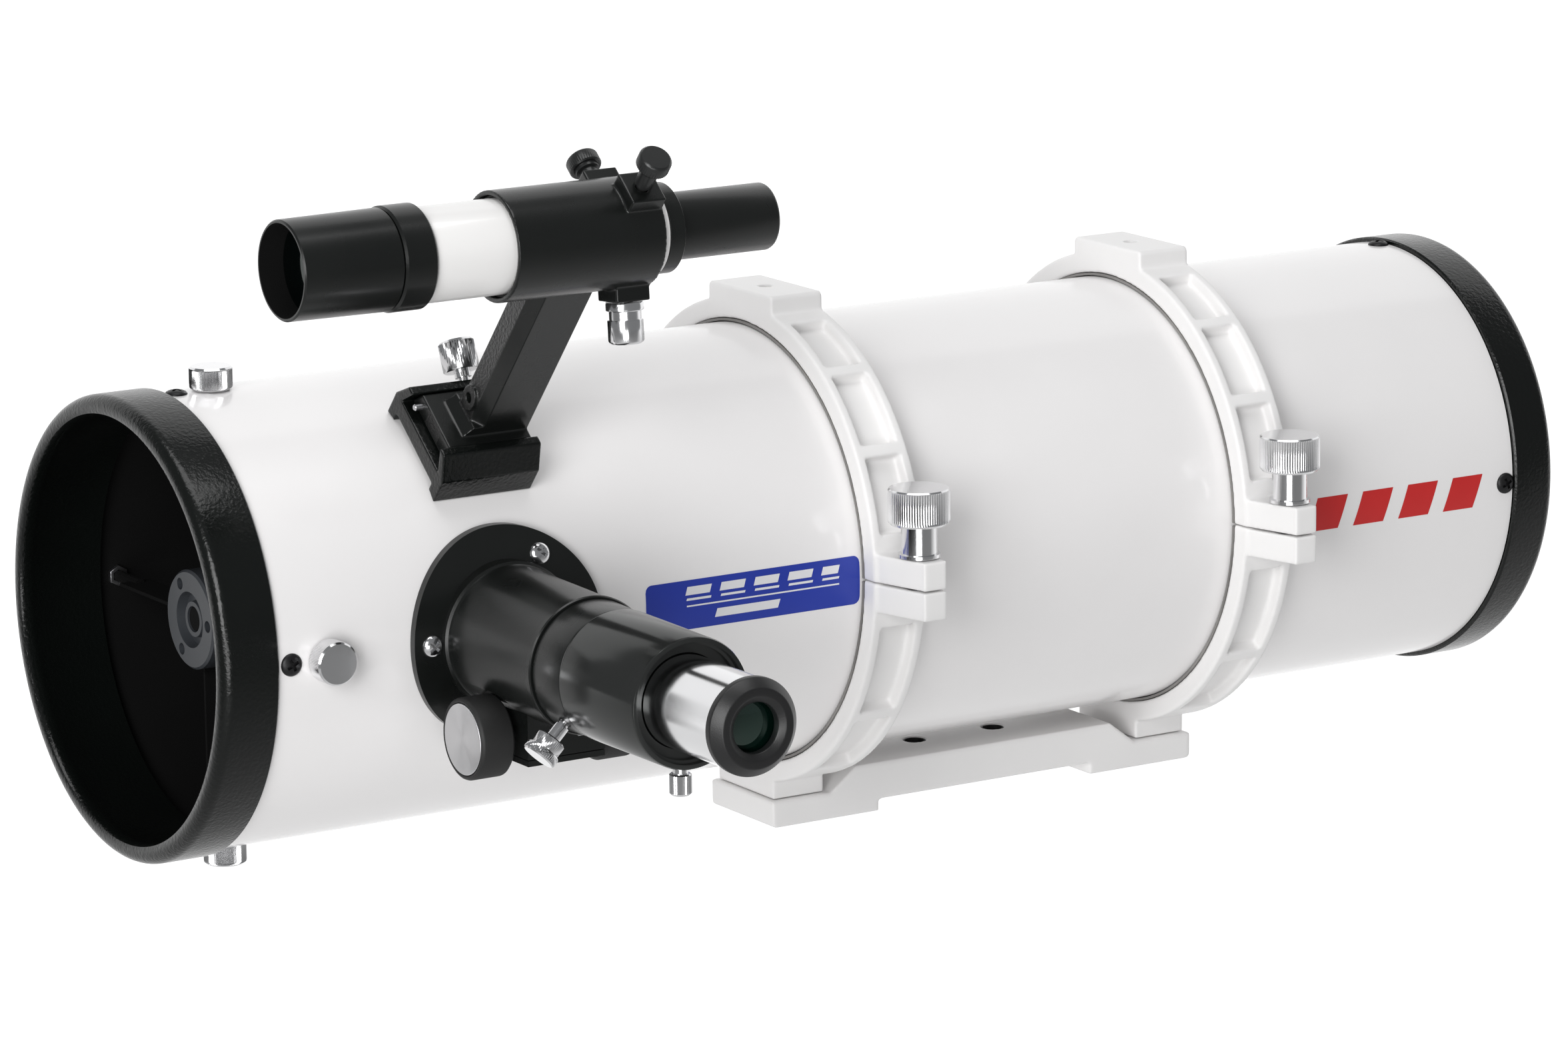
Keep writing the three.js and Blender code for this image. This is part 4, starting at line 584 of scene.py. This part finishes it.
for number, (y, z) in enumerate(collimation_places, 1):
    head = [(200, 0), (200, 2.5), (213.8, 2.5), (213.8, 5.8), (214.5, 6.5, 0.25), (218.2, 6.5, 0.25),
            (219, 5.7), (219, 0)]
    add(f"collimation_knob_{number}", turned(head, 72), facing((0, y, AXIS + z), (1, 0, 0)),
        f"collimation_{number}", chrome, [f"collimation_screw_{number}"])


def spring_wire(name, place, low, high, radius, wire, rounds, body, skin):
    """A coil spring about local X."""
    line = bpy.data.curves.new(name, "CURVE")
    line.dimensions = "3D"
    line.bevel_depth = 0.001 * wire
    line.bevel_resolution = 3
    steps = rounds * 16
    path = line.splines.new("POLY")
    path.points.add(steps)
    for i in range(steps + 1):
        angle = 2 * math.pi * i / 16
        path.points[i].co = (0.001 * (low + (high - low) * i / steps), 0.001 * radius * math.cos(angle),
                             0.001 * radius * math.sin(angle), 1)
    line.materials.append(skin)
    coil = bpy.data.objects.new(name, line)
    scene.collection.objects.link(coil)
    coil.matrix_world = place
    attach(coil, body)


for number, (y, z) in enumerate(collimation_places, 1):
    spring_wire(f"mirror_spring_{number}", facing((0, y, AXIS + z), (1, 0, 0)), 205.9, 209.1, 4, 0.4, 3,
                "tube", zinc)

# ---- spider and diagonal ---------------------------------------------
# Four thin blackened vanes, drawn tight by chrome thumb nuts outside the tube,
# hold a turned hub. The hub's stalk carries the small flat mirror at 45 degrees.
hub_grey = surface("hub_grey", (0.04, 0.044, 0.05), 0.4, grain=1600, relief=0.12, mottle=0.15)
hub_front, hub_rear, hub_r = SPIDER_X - 11, SPIDER_X + 9, 17.5
hub_profile = [(hub_front + 1.5, 0), (hub_front + 1.5, 6.2), (hub_front + 3.5, 6.6), (hub_front + 3.5, 9.3),
               (hub_front, 9.9), (hub_front, hub_r - 0.8), (hub_front + 0.8, hub_r), (hub_rear, hub_r),
               (hub_rear, 0)]
hub_holes = []
for hole_turn in (90, 210, 330):
    y, z = rim_point(13.4, hole_turn)
    drill = [(hub_front - 2, 0), (hub_front - 2, 2.1), (hub_front + 5, 2.1), (hub_front + 5, 0)]
    hub_holes.append(moved(turned(drill, 24), facing((0, y, z), (1, 0, 0))))
well = turned([(hub_front - 3, 0), (hub_front - 3, 4.6), (hub_front + 6, 4.6), (hub_front + 6, 0)], 48)
add("hub_disk", built([turned(hub_profile, 96)], [*hub_holes, well]), on_axis, "tube",
    hub_grey, ["spider_hub"])
nut_profile = [(80.3, 2.3), (80.3, 6.6), (81.0, 7.4), (81.4, 7.55, 0.3), (87.3, 7.55, 0.3), (87.9, 7.5),
               (88.5, 6.9), (88.5, 0), (86.5, 0), (86.5, 2.3), (80.3, 2.3)]
inner_nut = turned(softened([(76.9, 2.3), (76.9, 3.8), (78.7, 3.8), (78.7, 2.3), (76.9, 2.3)], 0.2), 6)
for side_name, out in SIDES.items():
    dress(f"spider_vane_{side_name}", flock)
    add(f"thumb_nut_{side_name}", turned(nut_profile, 180), facing((SPIDER_X, 0, AXIS), out, (1, 0, 0)),
        f"nut_{side_name}", chrome, [f"spider_nut_{side_name}"])
    washer = turned(softened([(80.05, 2.3), (80.05, 5.4), (80.28, 5.4), (80.28, 2.3), (80.05, 2.3)], 0.05),
                    48)
    add(f"nut_washer_{side_name}", washer, facing((SPIDER_X, 0, AXIS), out, (1, 0, 0)), "tube",
        zinc)
    add(f"inner_nut_{side_name}", inner_nut, facing((SPIDER_X, 0, AXIS), out, (1, 0, 0)), "tube",
        zinc)
slab = [(-80, -80), (80, -80), (80, 80), (-80, 80)]
tilted = facing((FOCUSER_X, 0, 0), (1, -1, 0), (0, 0, 1))
holder_shapes = [turned([(FOCUSER_X - 42, 0), (FOCUSER_X - 42, 19.2), (FOCUSER_X - 41.2, 20),
                         (FOCUSER_X + 60, 20), (FOCUSER_X + 60, 0)], 96),
                 turned([(hub_front + 2, 0), (hub_front + 2, 4), (FOCUSER_X - 41, 4), (FOCUSER_X - 41, 0)],
                        48)]
holder = built(holder_shapes, [moved(prism(slab, -8.3, 90), tilted)])
add("diagonal_stalk", holder, on_axis, "tube", flock, ["diagonal_holder"])
flat_blank = turned([(FOCUSER_X - 60, 0), (FOCUSER_X - 60, 20), (FOCUSER_X + 60, 20), (FOCUSER_X + 60, 0)],
                    96)
flat = built([flat_blank], [moved(prism(slab, 0, 90), tilted), moved(prism(slab, -90, -8), tilted)])
add("diagonal_flat", flat, on_axis, "tube", coating, ["diagonal_mirror"])
flat.materials.append(ground_glass)
for face in flat.polygons:
    if face.normal.x - face.normal.y < 1.3:
        face.material_index = 1

# ---- focuser ---------------------------------------------------------
# A black casting whose flange is curved to the tube and held by three screws. Its
# drawtube runs in and out on a rack, and a long adapter holds the eyepiece.
FLANGE_TOP, BODY_END, COLLAR_END, ADAPTER_END = 83.3, 138.4, 156, 203.5
PINION_REACH, PINION_DROP = 105, 28
focuser = facing((FOCUSER_X, 0, AXIS), (0, -1, 0), (0, 0, 1))
satin = surface("satin", (0.007, 0.008, 0.0075), 0.28, grain=1100, relief=0.14, mottle=0.2, coat=0.05)
satin.node_tree.nodes["Principled BSDF"].inputs["Specular IOR Level"].default_value = 0.4
across = facing((0, 0, 0), (0, 1, 0), (1, 0, 0))


def tube_blank(radius):
    """The main tube's outside, as the focuser's own frame sees it."""
    return moved(turned([(-90, 0), (-90, radius), (90, radius), (90, 0)], 240), across)


flange = built([turned([(40, 0), (40, 37), (100, 37), (100, 0)], 160)],
               [moved(turned([(-90, FLANGE_TOP), (90, FLANGE_TOP), (90, 140), (-90, 140),
                              (-90, FLANGE_TOP)], 240), across)])
neck = [(70, 0), (70, 25.8), (84.3, 25.8), (84.9, 24.9), (86.3, 24.3), (BODY_END - 3, 23.4)]
neck += [(BODY_END - 2.5, 23.9), (BODY_END - 0.5, 23.9), (BODY_END, 23.5), (BODY_END, 0)]
housing = moved(prism([(-15, -34.4), (15, -34.4), (15, -18), (-15, -18)], 90, 121), Matrix())
bore = turned([(60, 0), (60, 19.8), (160, 19.8), (160, 0)], 96)
shaft_hole = moved(turned([(-30, 0), (-30, 2.3), (30, 2.3), (30, 0)], 32),
                   facing((PINION_REACH, 0, -PINION_DROP), (0, 1, 0), (1, 0, 0)))
rack_way = prism([(-3.6, -25.6), (3.6, -25.6), (3.6, 0), (-3.6, 0)], 60, 139.4)
pinion_well = prism([(-5.5, -35.4), (5.5, -35.4), (5.5, -15), (-5.5, -15)], 99, 111)
recess_cuts = [moved(turned([(low, 0), (low, 15.2), (high, 15.2), (high, 0)], 64),
                     facing((PINION_REACH, 0, -PINION_DROP), (0, 1, 0), (1, 0, 0)))
               for low, high in ((-50, -17.9), (17.9, 50))]
body_cuts = [bore, tube_blank(TUBE_R + GAP), rack_way, pinion_well, shaft_hole, *recess_cuts]
body_mesh = built([flange, turned(neck, 160), housing], body_cuts)
add("focuser_casting", body_mesh, focuser, "tube", satin, ["focuser_body"], 30)
plated_head = cross_head(3.9, 2.0, 1.4)
for number, (dx, dz) in enumerate([(-30, 0), (15, 26), (15, -26)], 1):
    reach = math.sqrt(FLANGE_TOP ** 2 - dz ** 2)
    out = Vector((0, -reach, dz)).normalized()
    add(f"flange_screw_{number}", plated_head.copy(), facing((FOCUSER_X + dx, -reach, AXIS + dz), out,
                                                             (0.7, 0, 0.7)),
        "tube", chrome)

draw_profile = softened([(71.3, 17.6), (71.3, 19.4), (BODY_END + GAP, 19.4), (BODY_END + GAP, 22.9),
                         (COLLAR_END - 0.4, 22.4), (COLLAR_END - 0.4, 17.6), (71.3, 17.6)], 0.5)
lock_out = Vector((0, -1, -1)).normalized()
lock_seat = facing(((BODY_END + COLLAR_END) / 2, 0, 0), lock_out, (1, 0, 0))
lock_hole = moved(turned([(5, 0), (5, 2.0), (40, 2.0), (40, 0)], 24), lock_seat)
draw_mesh = built([turned(draw_profile, 128)], [lock_hole])
add("drawtube_turning", draw_mesh, focuser, "sliding_tube", satin, ["drawtube"])
dress("focus_rack", zinc)
adapter_profile = [(COLLAR_END + GAP, 16.2), (COLLAR_END + GAP, 22.4), (COLLAR_END + 0.6, 22.75),
                   (ADAPTER_END - 1, 22.45), (ADAPTER_END - 0.2, 22.1), (ADAPTER_END, 21.65),
                   (ADAPTER_END, 20.6), (ADAPTER_END - 2.3, 20.5), (ADAPTER_END - 2.5, 19.5),
                   (ADAPTER_END - 4.8, 19.4), (ADAPTER_END - 5, 16.2), (COLLAR_END + GAP, 16.2)]
set_seat = facing((ADAPTER_END - 7.8, 0, 0), (0, 0, -1), (1, 0, 0))
set_hole = moved(turned([(10, 0), (10, 2.0), (30, 2.0), (30, 0)], 24), set_seat)
adapter_skin = surface("adapter_gloss", (0.045, 0.047, 0.046), 0.17, metallic=0.6, grain=1600, relief=0.08,
                       mottle=0.1)
add("adapter_turning", built([turned(adapter_profile, 160)], [set_hole]), focuser, "sliding_tube",
    adapter_skin, ["eyepiece_adapter"])


def thumb_screw(tip, seat, head_start, head_end, shank, head_radius, knurl=0.2, steps=64):
    shape = [(tip, 0), (tip, shank), (seat, shank), (seat, shank + 0.9), (head_start, shank + 0.9),
             (head_start, head_radius - 0.5), (head_start + 0.5, head_radius, knurl),
             (head_end - 0.9, head_radius, knurl), (head_end - 0.1, head_radius - 0.8), (head_end, 0)]
    return turned(shape, steps)


lock_line = [(18.8, 0), (18.8, 1.8), (23.6, 1.8), (23.6, 2.6), (29.0, 2.6), (29.0, 4.7), (29.4, 5.15, 0.2),
             (33.2, 5.15, 0.2), (33.65, 4.9), (33.65, 5.8), (34.1, 6.15, 0.25), (36.4, 6.15, 0.25),
             (36.95, 5.6), (36.95, 0)]
add("lock_screw_knob", turned(lock_line, 96), focuser @ lock_seat, "lock_screw", chrome,
    ["adapter_lock_screw"])
add("set_screw_knob", thumb_screw(16.2, 22.75, 25.0, 32.5, 1.7, 3.8), focuser @ set_seat, "set_screw",
    chrome, ["eyepiece_set_screw"])

rubber = surface("rubber", (0.012, 0.012, 0.012), 0.6, grain=1800, relief=0.3, mottle=0.3)
spun = surface("spun_metal", (0.66, 0.66, 0.67), 0.32, metallic=1, grain=900, relief=0.05, mottle=0.1)
tree = spun.node_tree
rings_of = tree.nodes.new("ShaderNodeTexWave")
rings_of.wave_type = "RINGS"
rings_of.rings_direction = "X"
rings_of.inputs["Scale"].default_value = 700
rings_of.inputs["Distortion"].default_value = 1.5
tree.links.new(next(n for n in tree.nodes if n.type == "TEX_COORD").outputs["Object"],
               rings_of.inputs["Vector"])
spun_bump = next(n for n in tree.nodes if n.type == "BUMP")
brushing = tree.nodes.new("ShaderNodeTangent")
brushing.direction_type = "RADIAL"
brushing.axis = "X"
tree.nodes["Principled BSDF"].inputs["Anisotropic"].default_value = 0.8
tree.links.new(brushing.outputs["Tangent"], tree.nodes["Principled BSDF"].inputs["Tangent"])
tree.links.new(rings_of.outputs["Fac"], spun_bump.inputs["Height"])
dress("pinion_shaft", zinc)
KNOB_IN, KNOB_OUT, KNOB_R = 18.5, 31.4, 14.2
for which, sign in (("front", -1), ("rear", 1)):
    place = facing((FOCUSER_X, -PINION_REACH, AXIS - PINION_DROP), (sign, 0, 0), (0, 0, 1))
    tyre = [(KNOB_IN, 2.3), (KNOB_IN, 13.2), (KNOB_IN + 0.9, 14.1), (KNOB_IN + 1.2, KNOB_R, 0.14),
            (KNOB_OUT - 1.3, KNOB_R, 0.14), (KNOB_OUT - 0.6, 13.9), (KNOB_OUT - 0.1, 13.2),
            (KNOB_OUT - 0.3, 12.6), (KNOB_OUT - 1.2, 12.5), (KNOB_OUT - 1.2, 2.3), (KNOB_IN, 2.3)]
    add(f"knob_{which}_grip", turned(tyre, 260), place, "focus_drive", rubber,
        [f"focus_knob_{which}"])
    disk = softened([(KNOB_OUT - 1.15, 0), (KNOB_OUT - 1.15, 12.45), (KNOB_OUT, 12.3), (KNOB_OUT, 0)], 0.3)
    add(f"knob_{which}_face", turned(disk, 128), place, "focus_drive", spun)
cover = prism([(-15, -36.7), (15, -36.7), (15, -34.7), (-15, -34.7)], 90, 121)
cover_hole = moved(turned([(30, 0), (30, 2), (40, 2), (40, 0)], 24),
                   facing((PINION_REACH, 0, 0), (0, 0, -1), (1, 0, 0)))
add("cover_plate", built([cover], [cover_hole]), focuser, "tube", satin, ["pinion_cover"])
small_head = cross_head(1.9, 0.9, 0.6)
for number, (along, sideways) in enumerate([(93.5, -11), (93.5, 11), (117.5, -11), (117.5, 11)], 1):
    seat = focuser @ facing((along, sideways, -36.7), (0, 0, -1), (1, 0.5, 0))
    add(f"cover_screw_{number}", small_head.copy(), seat, "tube", black_oxide)

# ---- eyepiece --------------------------------------------------------
# A bright chrome barrel with a black moulded eyecup and a coated eye lens.
plastic = surface("plastic", (0.01, 0.01, 0.0105), 0.42, grain=2200, relief=0.3, mottle=0.15)
EYECUP_END = 245
barrel = [(174, 14.6), (174, 15.5), (174.4, 15.85), (238.2, 15.85), (238.2, 14.6), (174, 14.6)]
add("barrel_sleeve", turned(barrel, 128), focuser, "eyepiece", chrome, ["eyepiece_barrel"])
cup = softened([(238.5, 14.2), (238.5, 16.1), (239.3, 16.6), (EYECUP_END - 3.4, 16.6), (EYECUP_END, 13.4),
                (EYECUP_END, 10.8), (EYECUP_END - 1.6, 8.5), (240.5, 8.5), (240.5, 12.2), (238.5, 14.2)], 0.4)
add("eyecup_moulding", turned(cup, 128), focuser, "eyepiece", plastic, ["eyecup"])


def coated_glass(name, tint):
    lens = surface(name, tint, 0.03, grain=30, relief=0.0, mottle=0.4, spread=0.01, coat=1.0)
    lens.node_tree.nodes["Principled BSDF"].inputs["Specular IOR Level"].default_value = 1.0
    lens.node_tree.nodes["Principled BSDF"].inputs["Coat Tint"].default_value = (0.3, 1, 0.7, 1)
    return lens


green_glass = coated_glass("green_glass", (0.002, 0.01, 0.008))
green_glass.node_tree.nodes["Principled BSDF"].inputs["Coat Weight"].default_value = 0.4
eye_glass = [(234.1, 0), (234.9, 6), (236.1, 10.5), (238.7, 10.5)] + \
            [(238.7 + 1.4 * (1 - (r / 10.5) ** 2), r) for r in (9, 7.5, 6, 4, 2)] + [(240.1, 0)]
add("eye_glass", turned(eye_glass, 96), focuser, "eyepiece", green_glass, ["eye_lens"])

# ---- finder shoe and bracket -----------------------------------------
# A black cast channel screwed to the tube takes the foot of a one-piece bracket:
# foot, slanting arm and holding tube. A chrome screw in the far wall locks it.
LEAN = math.radians(40.5)
FINDER_REACH, FINDER_R = 187.6, 16.1
outward = Vector((0, -math.sin(LEAN), math.cos(LEAN)))
finder_side = facing((0, 0, AXIS), (1, 0, 0), outward)
finder = facing(Vector((0, 0, AXIS)) + FINDER_REACH * outward, (1, 0, 0), outward)
SHOE_FRONT, SHOE_BACK, SHOE_HALF, SHOE_TOP, SHOE_FLOOR = -256.2, -217.8, 20.5, 96.5, 88.5


def foot_half(height):
    return 16 - 4 * (height - SHOE_FLOOR) / (SHOE_TOP - SHOE_FLOOR) - 0.45


wall_line = [(SHOE_HALF, 70), (SHOE_HALF, 88), (15.5, SHOE_TOP), (12, SHOE_TOP), (16, SHOE_FLOOR)]
shoe_outline = wall_line + [(-y, z) for y, z in wall_line[::-1]]
relief = prism([(-15.5, 60), (15.5, 60), (15.5, 82), (-15.5, 82)], SHOE_FRONT - 1, SHOE_BACK + 1)
shoe_screw_seat = facing((FOCUSER_X + 4, 14, 92.5), (0, 8, 4), (1, 0, 0))
shoe_hole = moved(turned([(-4, 0), (-4, 2.3), (20, 2.3), (20, 0)], 24), shoe_screw_seat)
tube_round = turned([(-300, 0), (-300, 80.3), (-180, 80.3), (-180, 0)], 240)
shoe_mesh = cast([prism(shoe_outline, SHOE_FRONT, SHOE_BACK)], [tube_round, relief, shoe_hole], voxel=0.4)
add("shoe_casting", shoe_mesh, finder_side, "tube", hammered, ["finder_shoe"], 0)
add("shoe_screw_knob", thumb_screw(0.1, 4.6, 6.9, 17.8, 2, 6.4, 0.25, 90), finder_side @ shoe_screw_seat,
    "shoe_lock", chrome, ["shoe_screw"])

DOWN = -FINDER_REACH
HOLDER_FRONT, HOLDER_BACK, HOLDER_R, HOLDER_BORE = -262.5, -206, 18.8, 17.2
FOOT_BASE, FOOT_TOP = 88.9, 95.7
foot_outline = [(foot_half(FOOT_BASE), FOOT_BASE + DOWN), (foot_half(FOOT_TOP), FOOT_TOP + DOWN)]
foot_outline += [(-y, z) for y, z in foot_outline[::-1]]
ARM_BACK, ARM_FRONT, ARM_HALF, BEVEL = -220, -242, 8, 4
arm_section = [(ARM_BACK, -ARM_HALF), (ARM_BACK, ARM_HALF), (ARM_FRONT + BEVEL, ARM_HALF),
               (ARM_FRONT, ARM_HALF - BEVEL), (ARM_FRONT, BEVEL - ARM_HALF), (ARM_FRONT + BEVEL, -ARM_HALF)]
arm = moved(prism(arm_section, FOOT_TOP + DOWN - 1, -15.2), facing((0, 0, 0), (0, 0, 1), (0, 1, 0)))
toe_base = FOOT_TOP + DOWN - 1
toe = moved(prism([(ARM_FRONT - 4, toe_base), (ARM_BACK, toe_base), (ARM_BACK, toe_base + 5),
                   (ARM_FRONT, toe_base + 5)],
                  -ARM_HALF, ARM_HALF), facing((0, 0, 0), (0, -1, 0), (0, 0, 1)))
boss_height = FOOT_TOP + DOWN + 11
boss = [(ARM_FRONT + 2 if i else ARM_FRONT - 1.4, 4 * math.cos(a / 10 * math.pi),
         5.4 * math.sin(a / 10 * math.pi))
        for i in (0, 1) for a in range(20)]
boss_points = [(x, y, z + boss_height) for x, y, z in boss]
boss_faces = [tuple(range(20))[::-1], tuple(range(20, 40)),
              *[(i, (i + 1) % 20, 20 + (i + 1) % 20, 20 + i) for i in range(20)]]
boss_hole = moved(turned([(ARM_FRONT - 4, 0), (ARM_FRONT - 4, 1.8), (ARM_FRONT + 3, 1.8),
                          (ARM_FRONT + 3, 0)], 32),
                  facing((0, 0, boss_height), (1, 0, 0)))
ADJUSTER_X, PAD_HEIGHT = -213, 23
adjuster_ways = {"outer": (0, 0, 1), "side": (0, 1, 0), "inner": (0, -1, -1)}
adjuster_seats = {name: facing((ADJUSTER_X, 0, 0), way, (1, 0, 0)) for name, way in adjuster_ways.items()}
pads, pad_holes = [], []
for name, seat in adjuster_seats.items():
    pads.append(moved(prism([(-6.5, -6.5), (6.5, -6.5), (6.5, 6.5), (-6.5, 6.5)], HOLDER_BORE + 0.4,
                            PAD_HEIGHT), seat))
    wide = 2.5 if name == "inner" else 2.3
    pad_holes.append(moved(turned([(8, 0), (8, wide), (26, wide), (26, 0)], 24), seat))
holder_tube = turned([(HOLDER_FRONT, 0), (HOLDER_FRONT, HOLDER_R), (HOLDER_BACK, HOLDER_R),
                      (HOLDER_BACK, 0)], 160)
holder_bore = turned([(-270, 0), (-270, HOLDER_BORE), (-200, HOLDER_BORE), (-200, 0)], 160)
bracket_mesh = cast([holder_tube, prism(foot_outline, -252.2, -219.8), arm, toe, (boss_points, boss_faces),
                     *pads],
                    [holder_bore, boss_hole, *pad_holes], voxel=0.4, rounds=3)
add("bracket_casting", bracket_mesh, finder, "finder_holder", satin,
              ["finder_bracket"], 0)
rough_cast = surface("rough_cast", (0.018, 0.018, 0.018), 0.36, grain=900, relief=0.9, mottle=0.5,
                     depth=0.6, detail=5)
bracket_mesh.materials.append(rough_cast)
for face in bracket_mesh.polygons:
    if face.normal.x < -0.8 and abs(face.center.y) < 0.005 and face.center.z < -0.019:
        face.material_index = 1
pivot_ring = turned(softened([(HOLDER_FRONT + 2, 16.15), (HOLDER_FRONT + 2, 17.15),
                              (HOLDER_FRONT + 4.5, 17.15), (HOLDER_FRONT + 4.5, 16.15),
                              (HOLDER_FRONT + 2, 16.15)], 0.4), 96)
add("pivot_ring", pivot_ring, finder, "finder_holder", rubber)
stop_pin = [(-255.4, 0), (-255.4, 0.9), (-255.1, 1.2), (-251, 1.2), (-251, 0)]
add("stop_pin", turned(stop_pin, 32), finder_side @ facing((0, 9.5, 92.4), (1, 0, 0)), "finder_holder",
    zinc)

# ---- finder adjusters ------------------------------------------------
# Two black thumbscrews and a chrome spring plunger stand on square pads, and
# between them they aim the finder about the rubber ring in the bracket's front.
knob_skin = surface("knob_black", (0.03, 0.031, 0.031), 0.3, metallic=0.4, grain=1600, relief=0.15,
                    mottle=0.2)
for name, head, body in (("outer", 32.6, "outer_adjuster"), ("side", 28.6, "side_adjuster")):
    stem = [(FINDER_R + GAP, 0), (FINDER_R + GAP, 2), (24.5, 2), (24.5, 3.2), (head - 1.6, 3.2),
            (head - 1.2, 4.2), (head, 4.4), (head, 5.3), (head + 0.5, 5.75, 0.12), (head + 4.1, 5.75, 0.12),
            (head + 4.6, 5.4), (head + 5, 4.9), (head + 5, 0)]
    add(f"{name}_adjuster_knob", turned(stem, 96), finder @ adjuster_seats[name], body,
        knob_skin, [f"adjuster_{name}"])
plunger = [(23.3, 2.5), (23.3, 6.3), (23.7, 6.6), (26.0, 6.6), (26.3, 6.3), (26.3, 5.6), (29.3, 5.6),
           (29.3, 5.9), (29.6, 6.1, 0.2), (36.5, 6.1, 0.2), (37.0, 5.8), (37.5, 5.2), (37.5, 0), (35.8, 0),
           (35.8, 2.5), (23.3, 2.5)]
add("plunger_shell", turned(plunger, 96), finder @ adjuster_seats["inner"], "finder_holder",
    chrome, ["plunger_housing"])
pin = [(16.4, 0), (16.6, 1.2), (17.4, 2.2), (31, 2.2), (31, 0)]
add("plunger_rod", turned(pin, 48), finder @ adjuster_seats["inner"], "spring_pin", chrome,
    ["plunger_pin"])

# ---- finder ----------------------------------------------------------
# A small refractor: a white aluminium tube, an objective cell that screws in and
# out behind its lock ring, and an eyepiece in the rear end, all in black plastic.
CELL_FRONT, CELL_BACK, LOCK_BACK, TUBE_BACK, EYE_END = -341, -304, -292, -203, -156.5
finder_white = surface("finder_enamel", (0.83, 0.82, 0.81), 0.3, grain=60, relief=0.05, mottle=0.015,
                       spread=0.04, coat=0.5)
sleeve = softened([(LOCK_BACK + GAP, 14.9), (LOCK_BACK + GAP, FINDER_R), (TUBE_BACK, FINDER_R),
                   (TUBE_BACK, 14.9), (LOCK_BACK + GAP, 14.9)], 0.2)
add("finder_sleeve", turned(sleeve, 128), finder, "finder_scope", finder_white,
    ["finder_tube"])
cell = [(CELL_FRONT, 15.7), (CELL_FRONT, 16.3), (CELL_FRONT + 0.5, 16.8), (CELL_BACK - 0.8, 17.2),
        (CELL_BACK - GAP, 16.8), (CELL_BACK - GAP, 14.6), (LOCK_BACK + 8, 14.6), (LOCK_BACK + 8, 13.2),
        (CELL_FRONT + 14, 13.2), (CELL_FRONT + 14, 15.3), (CELL_FRONT, 15.7)]
cell_mesh = mesh_of("cell_moulding", turned(cell, 128))
add("cell_moulding", cell_mesh, finder, "finder_front", satin, ["finder_cell"])
cell_mesh.materials.append(flock)
for face in cell_mesh.polygons:
    if math.hypot(face.center.y, face.center.z) < 0.0156:
        face.material_index = 1
lock = [(CELL_BACK, 14.9), (CELL_BACK, 16.9), (CELL_BACK + 0.7, 17.7), (LOCK_BACK - 0.7, 17.7),
        (LOCK_BACK, 17.1), (LOCK_BACK, 14.9), (CELL_BACK, 14.9)]
add("lock_ring_moulding", turned(lock, 128), finder, "finder_lock", satin,
    ["finder_lock_ring"])
lens_back = CELL_FRONT + 13.7
lens = [(lens_back - 6.2 + 1.2 * (r / 15) ** 2, r) for r in (0, 3, 6, 9, 12, 14, 15)] + [(lens_back, 15),
                                                                                         (lens_back, 0)]
dark_glass = coated_glass("dark_glass", (0.001, 0.002, 0.002))
dark_glass.node_tree.nodes["Principled BSDF"].inputs["Specular IOR Level"].default_value = 0.3
dark_glass.node_tree.nodes["Principled BSDF"].inputs["Coat Weight"].default_value = 0.1
add("objective_glass", turned(lens, 96), finder, "finder_front", dark_glass,
    ["finder_objective"])
eyepiece = [(-211, 9.6), (-211, 14.6), (-202.7, 14.6), (-202.7, 14.9), (-202.2, 15.4), (-196.8, 15.4),
            (-196.3, 14.9), (-196.3, 11.5), (-157.6, 11.5), (-156.9, 11.2), (EYE_END, 10.5), (EYE_END, 7.8),
            (-157.2, 7.2), (-160.5, 6), (-160.5, 9.6), (-211, 9.6)]
add("finder_eye_moulding", turned(eyepiece, 128), finder, "finder_scope", satin,
    ["finder_eyepiece"])
eye = [(-164.5, 0), (-164.5, 9.4), (-162.8, 9.4), (-161.6, 6), (-161.2, 3), (-161.1, 0)]
add("finder_eye_glass", turned(eye, 64), finder, "finder_scope", green_glass)
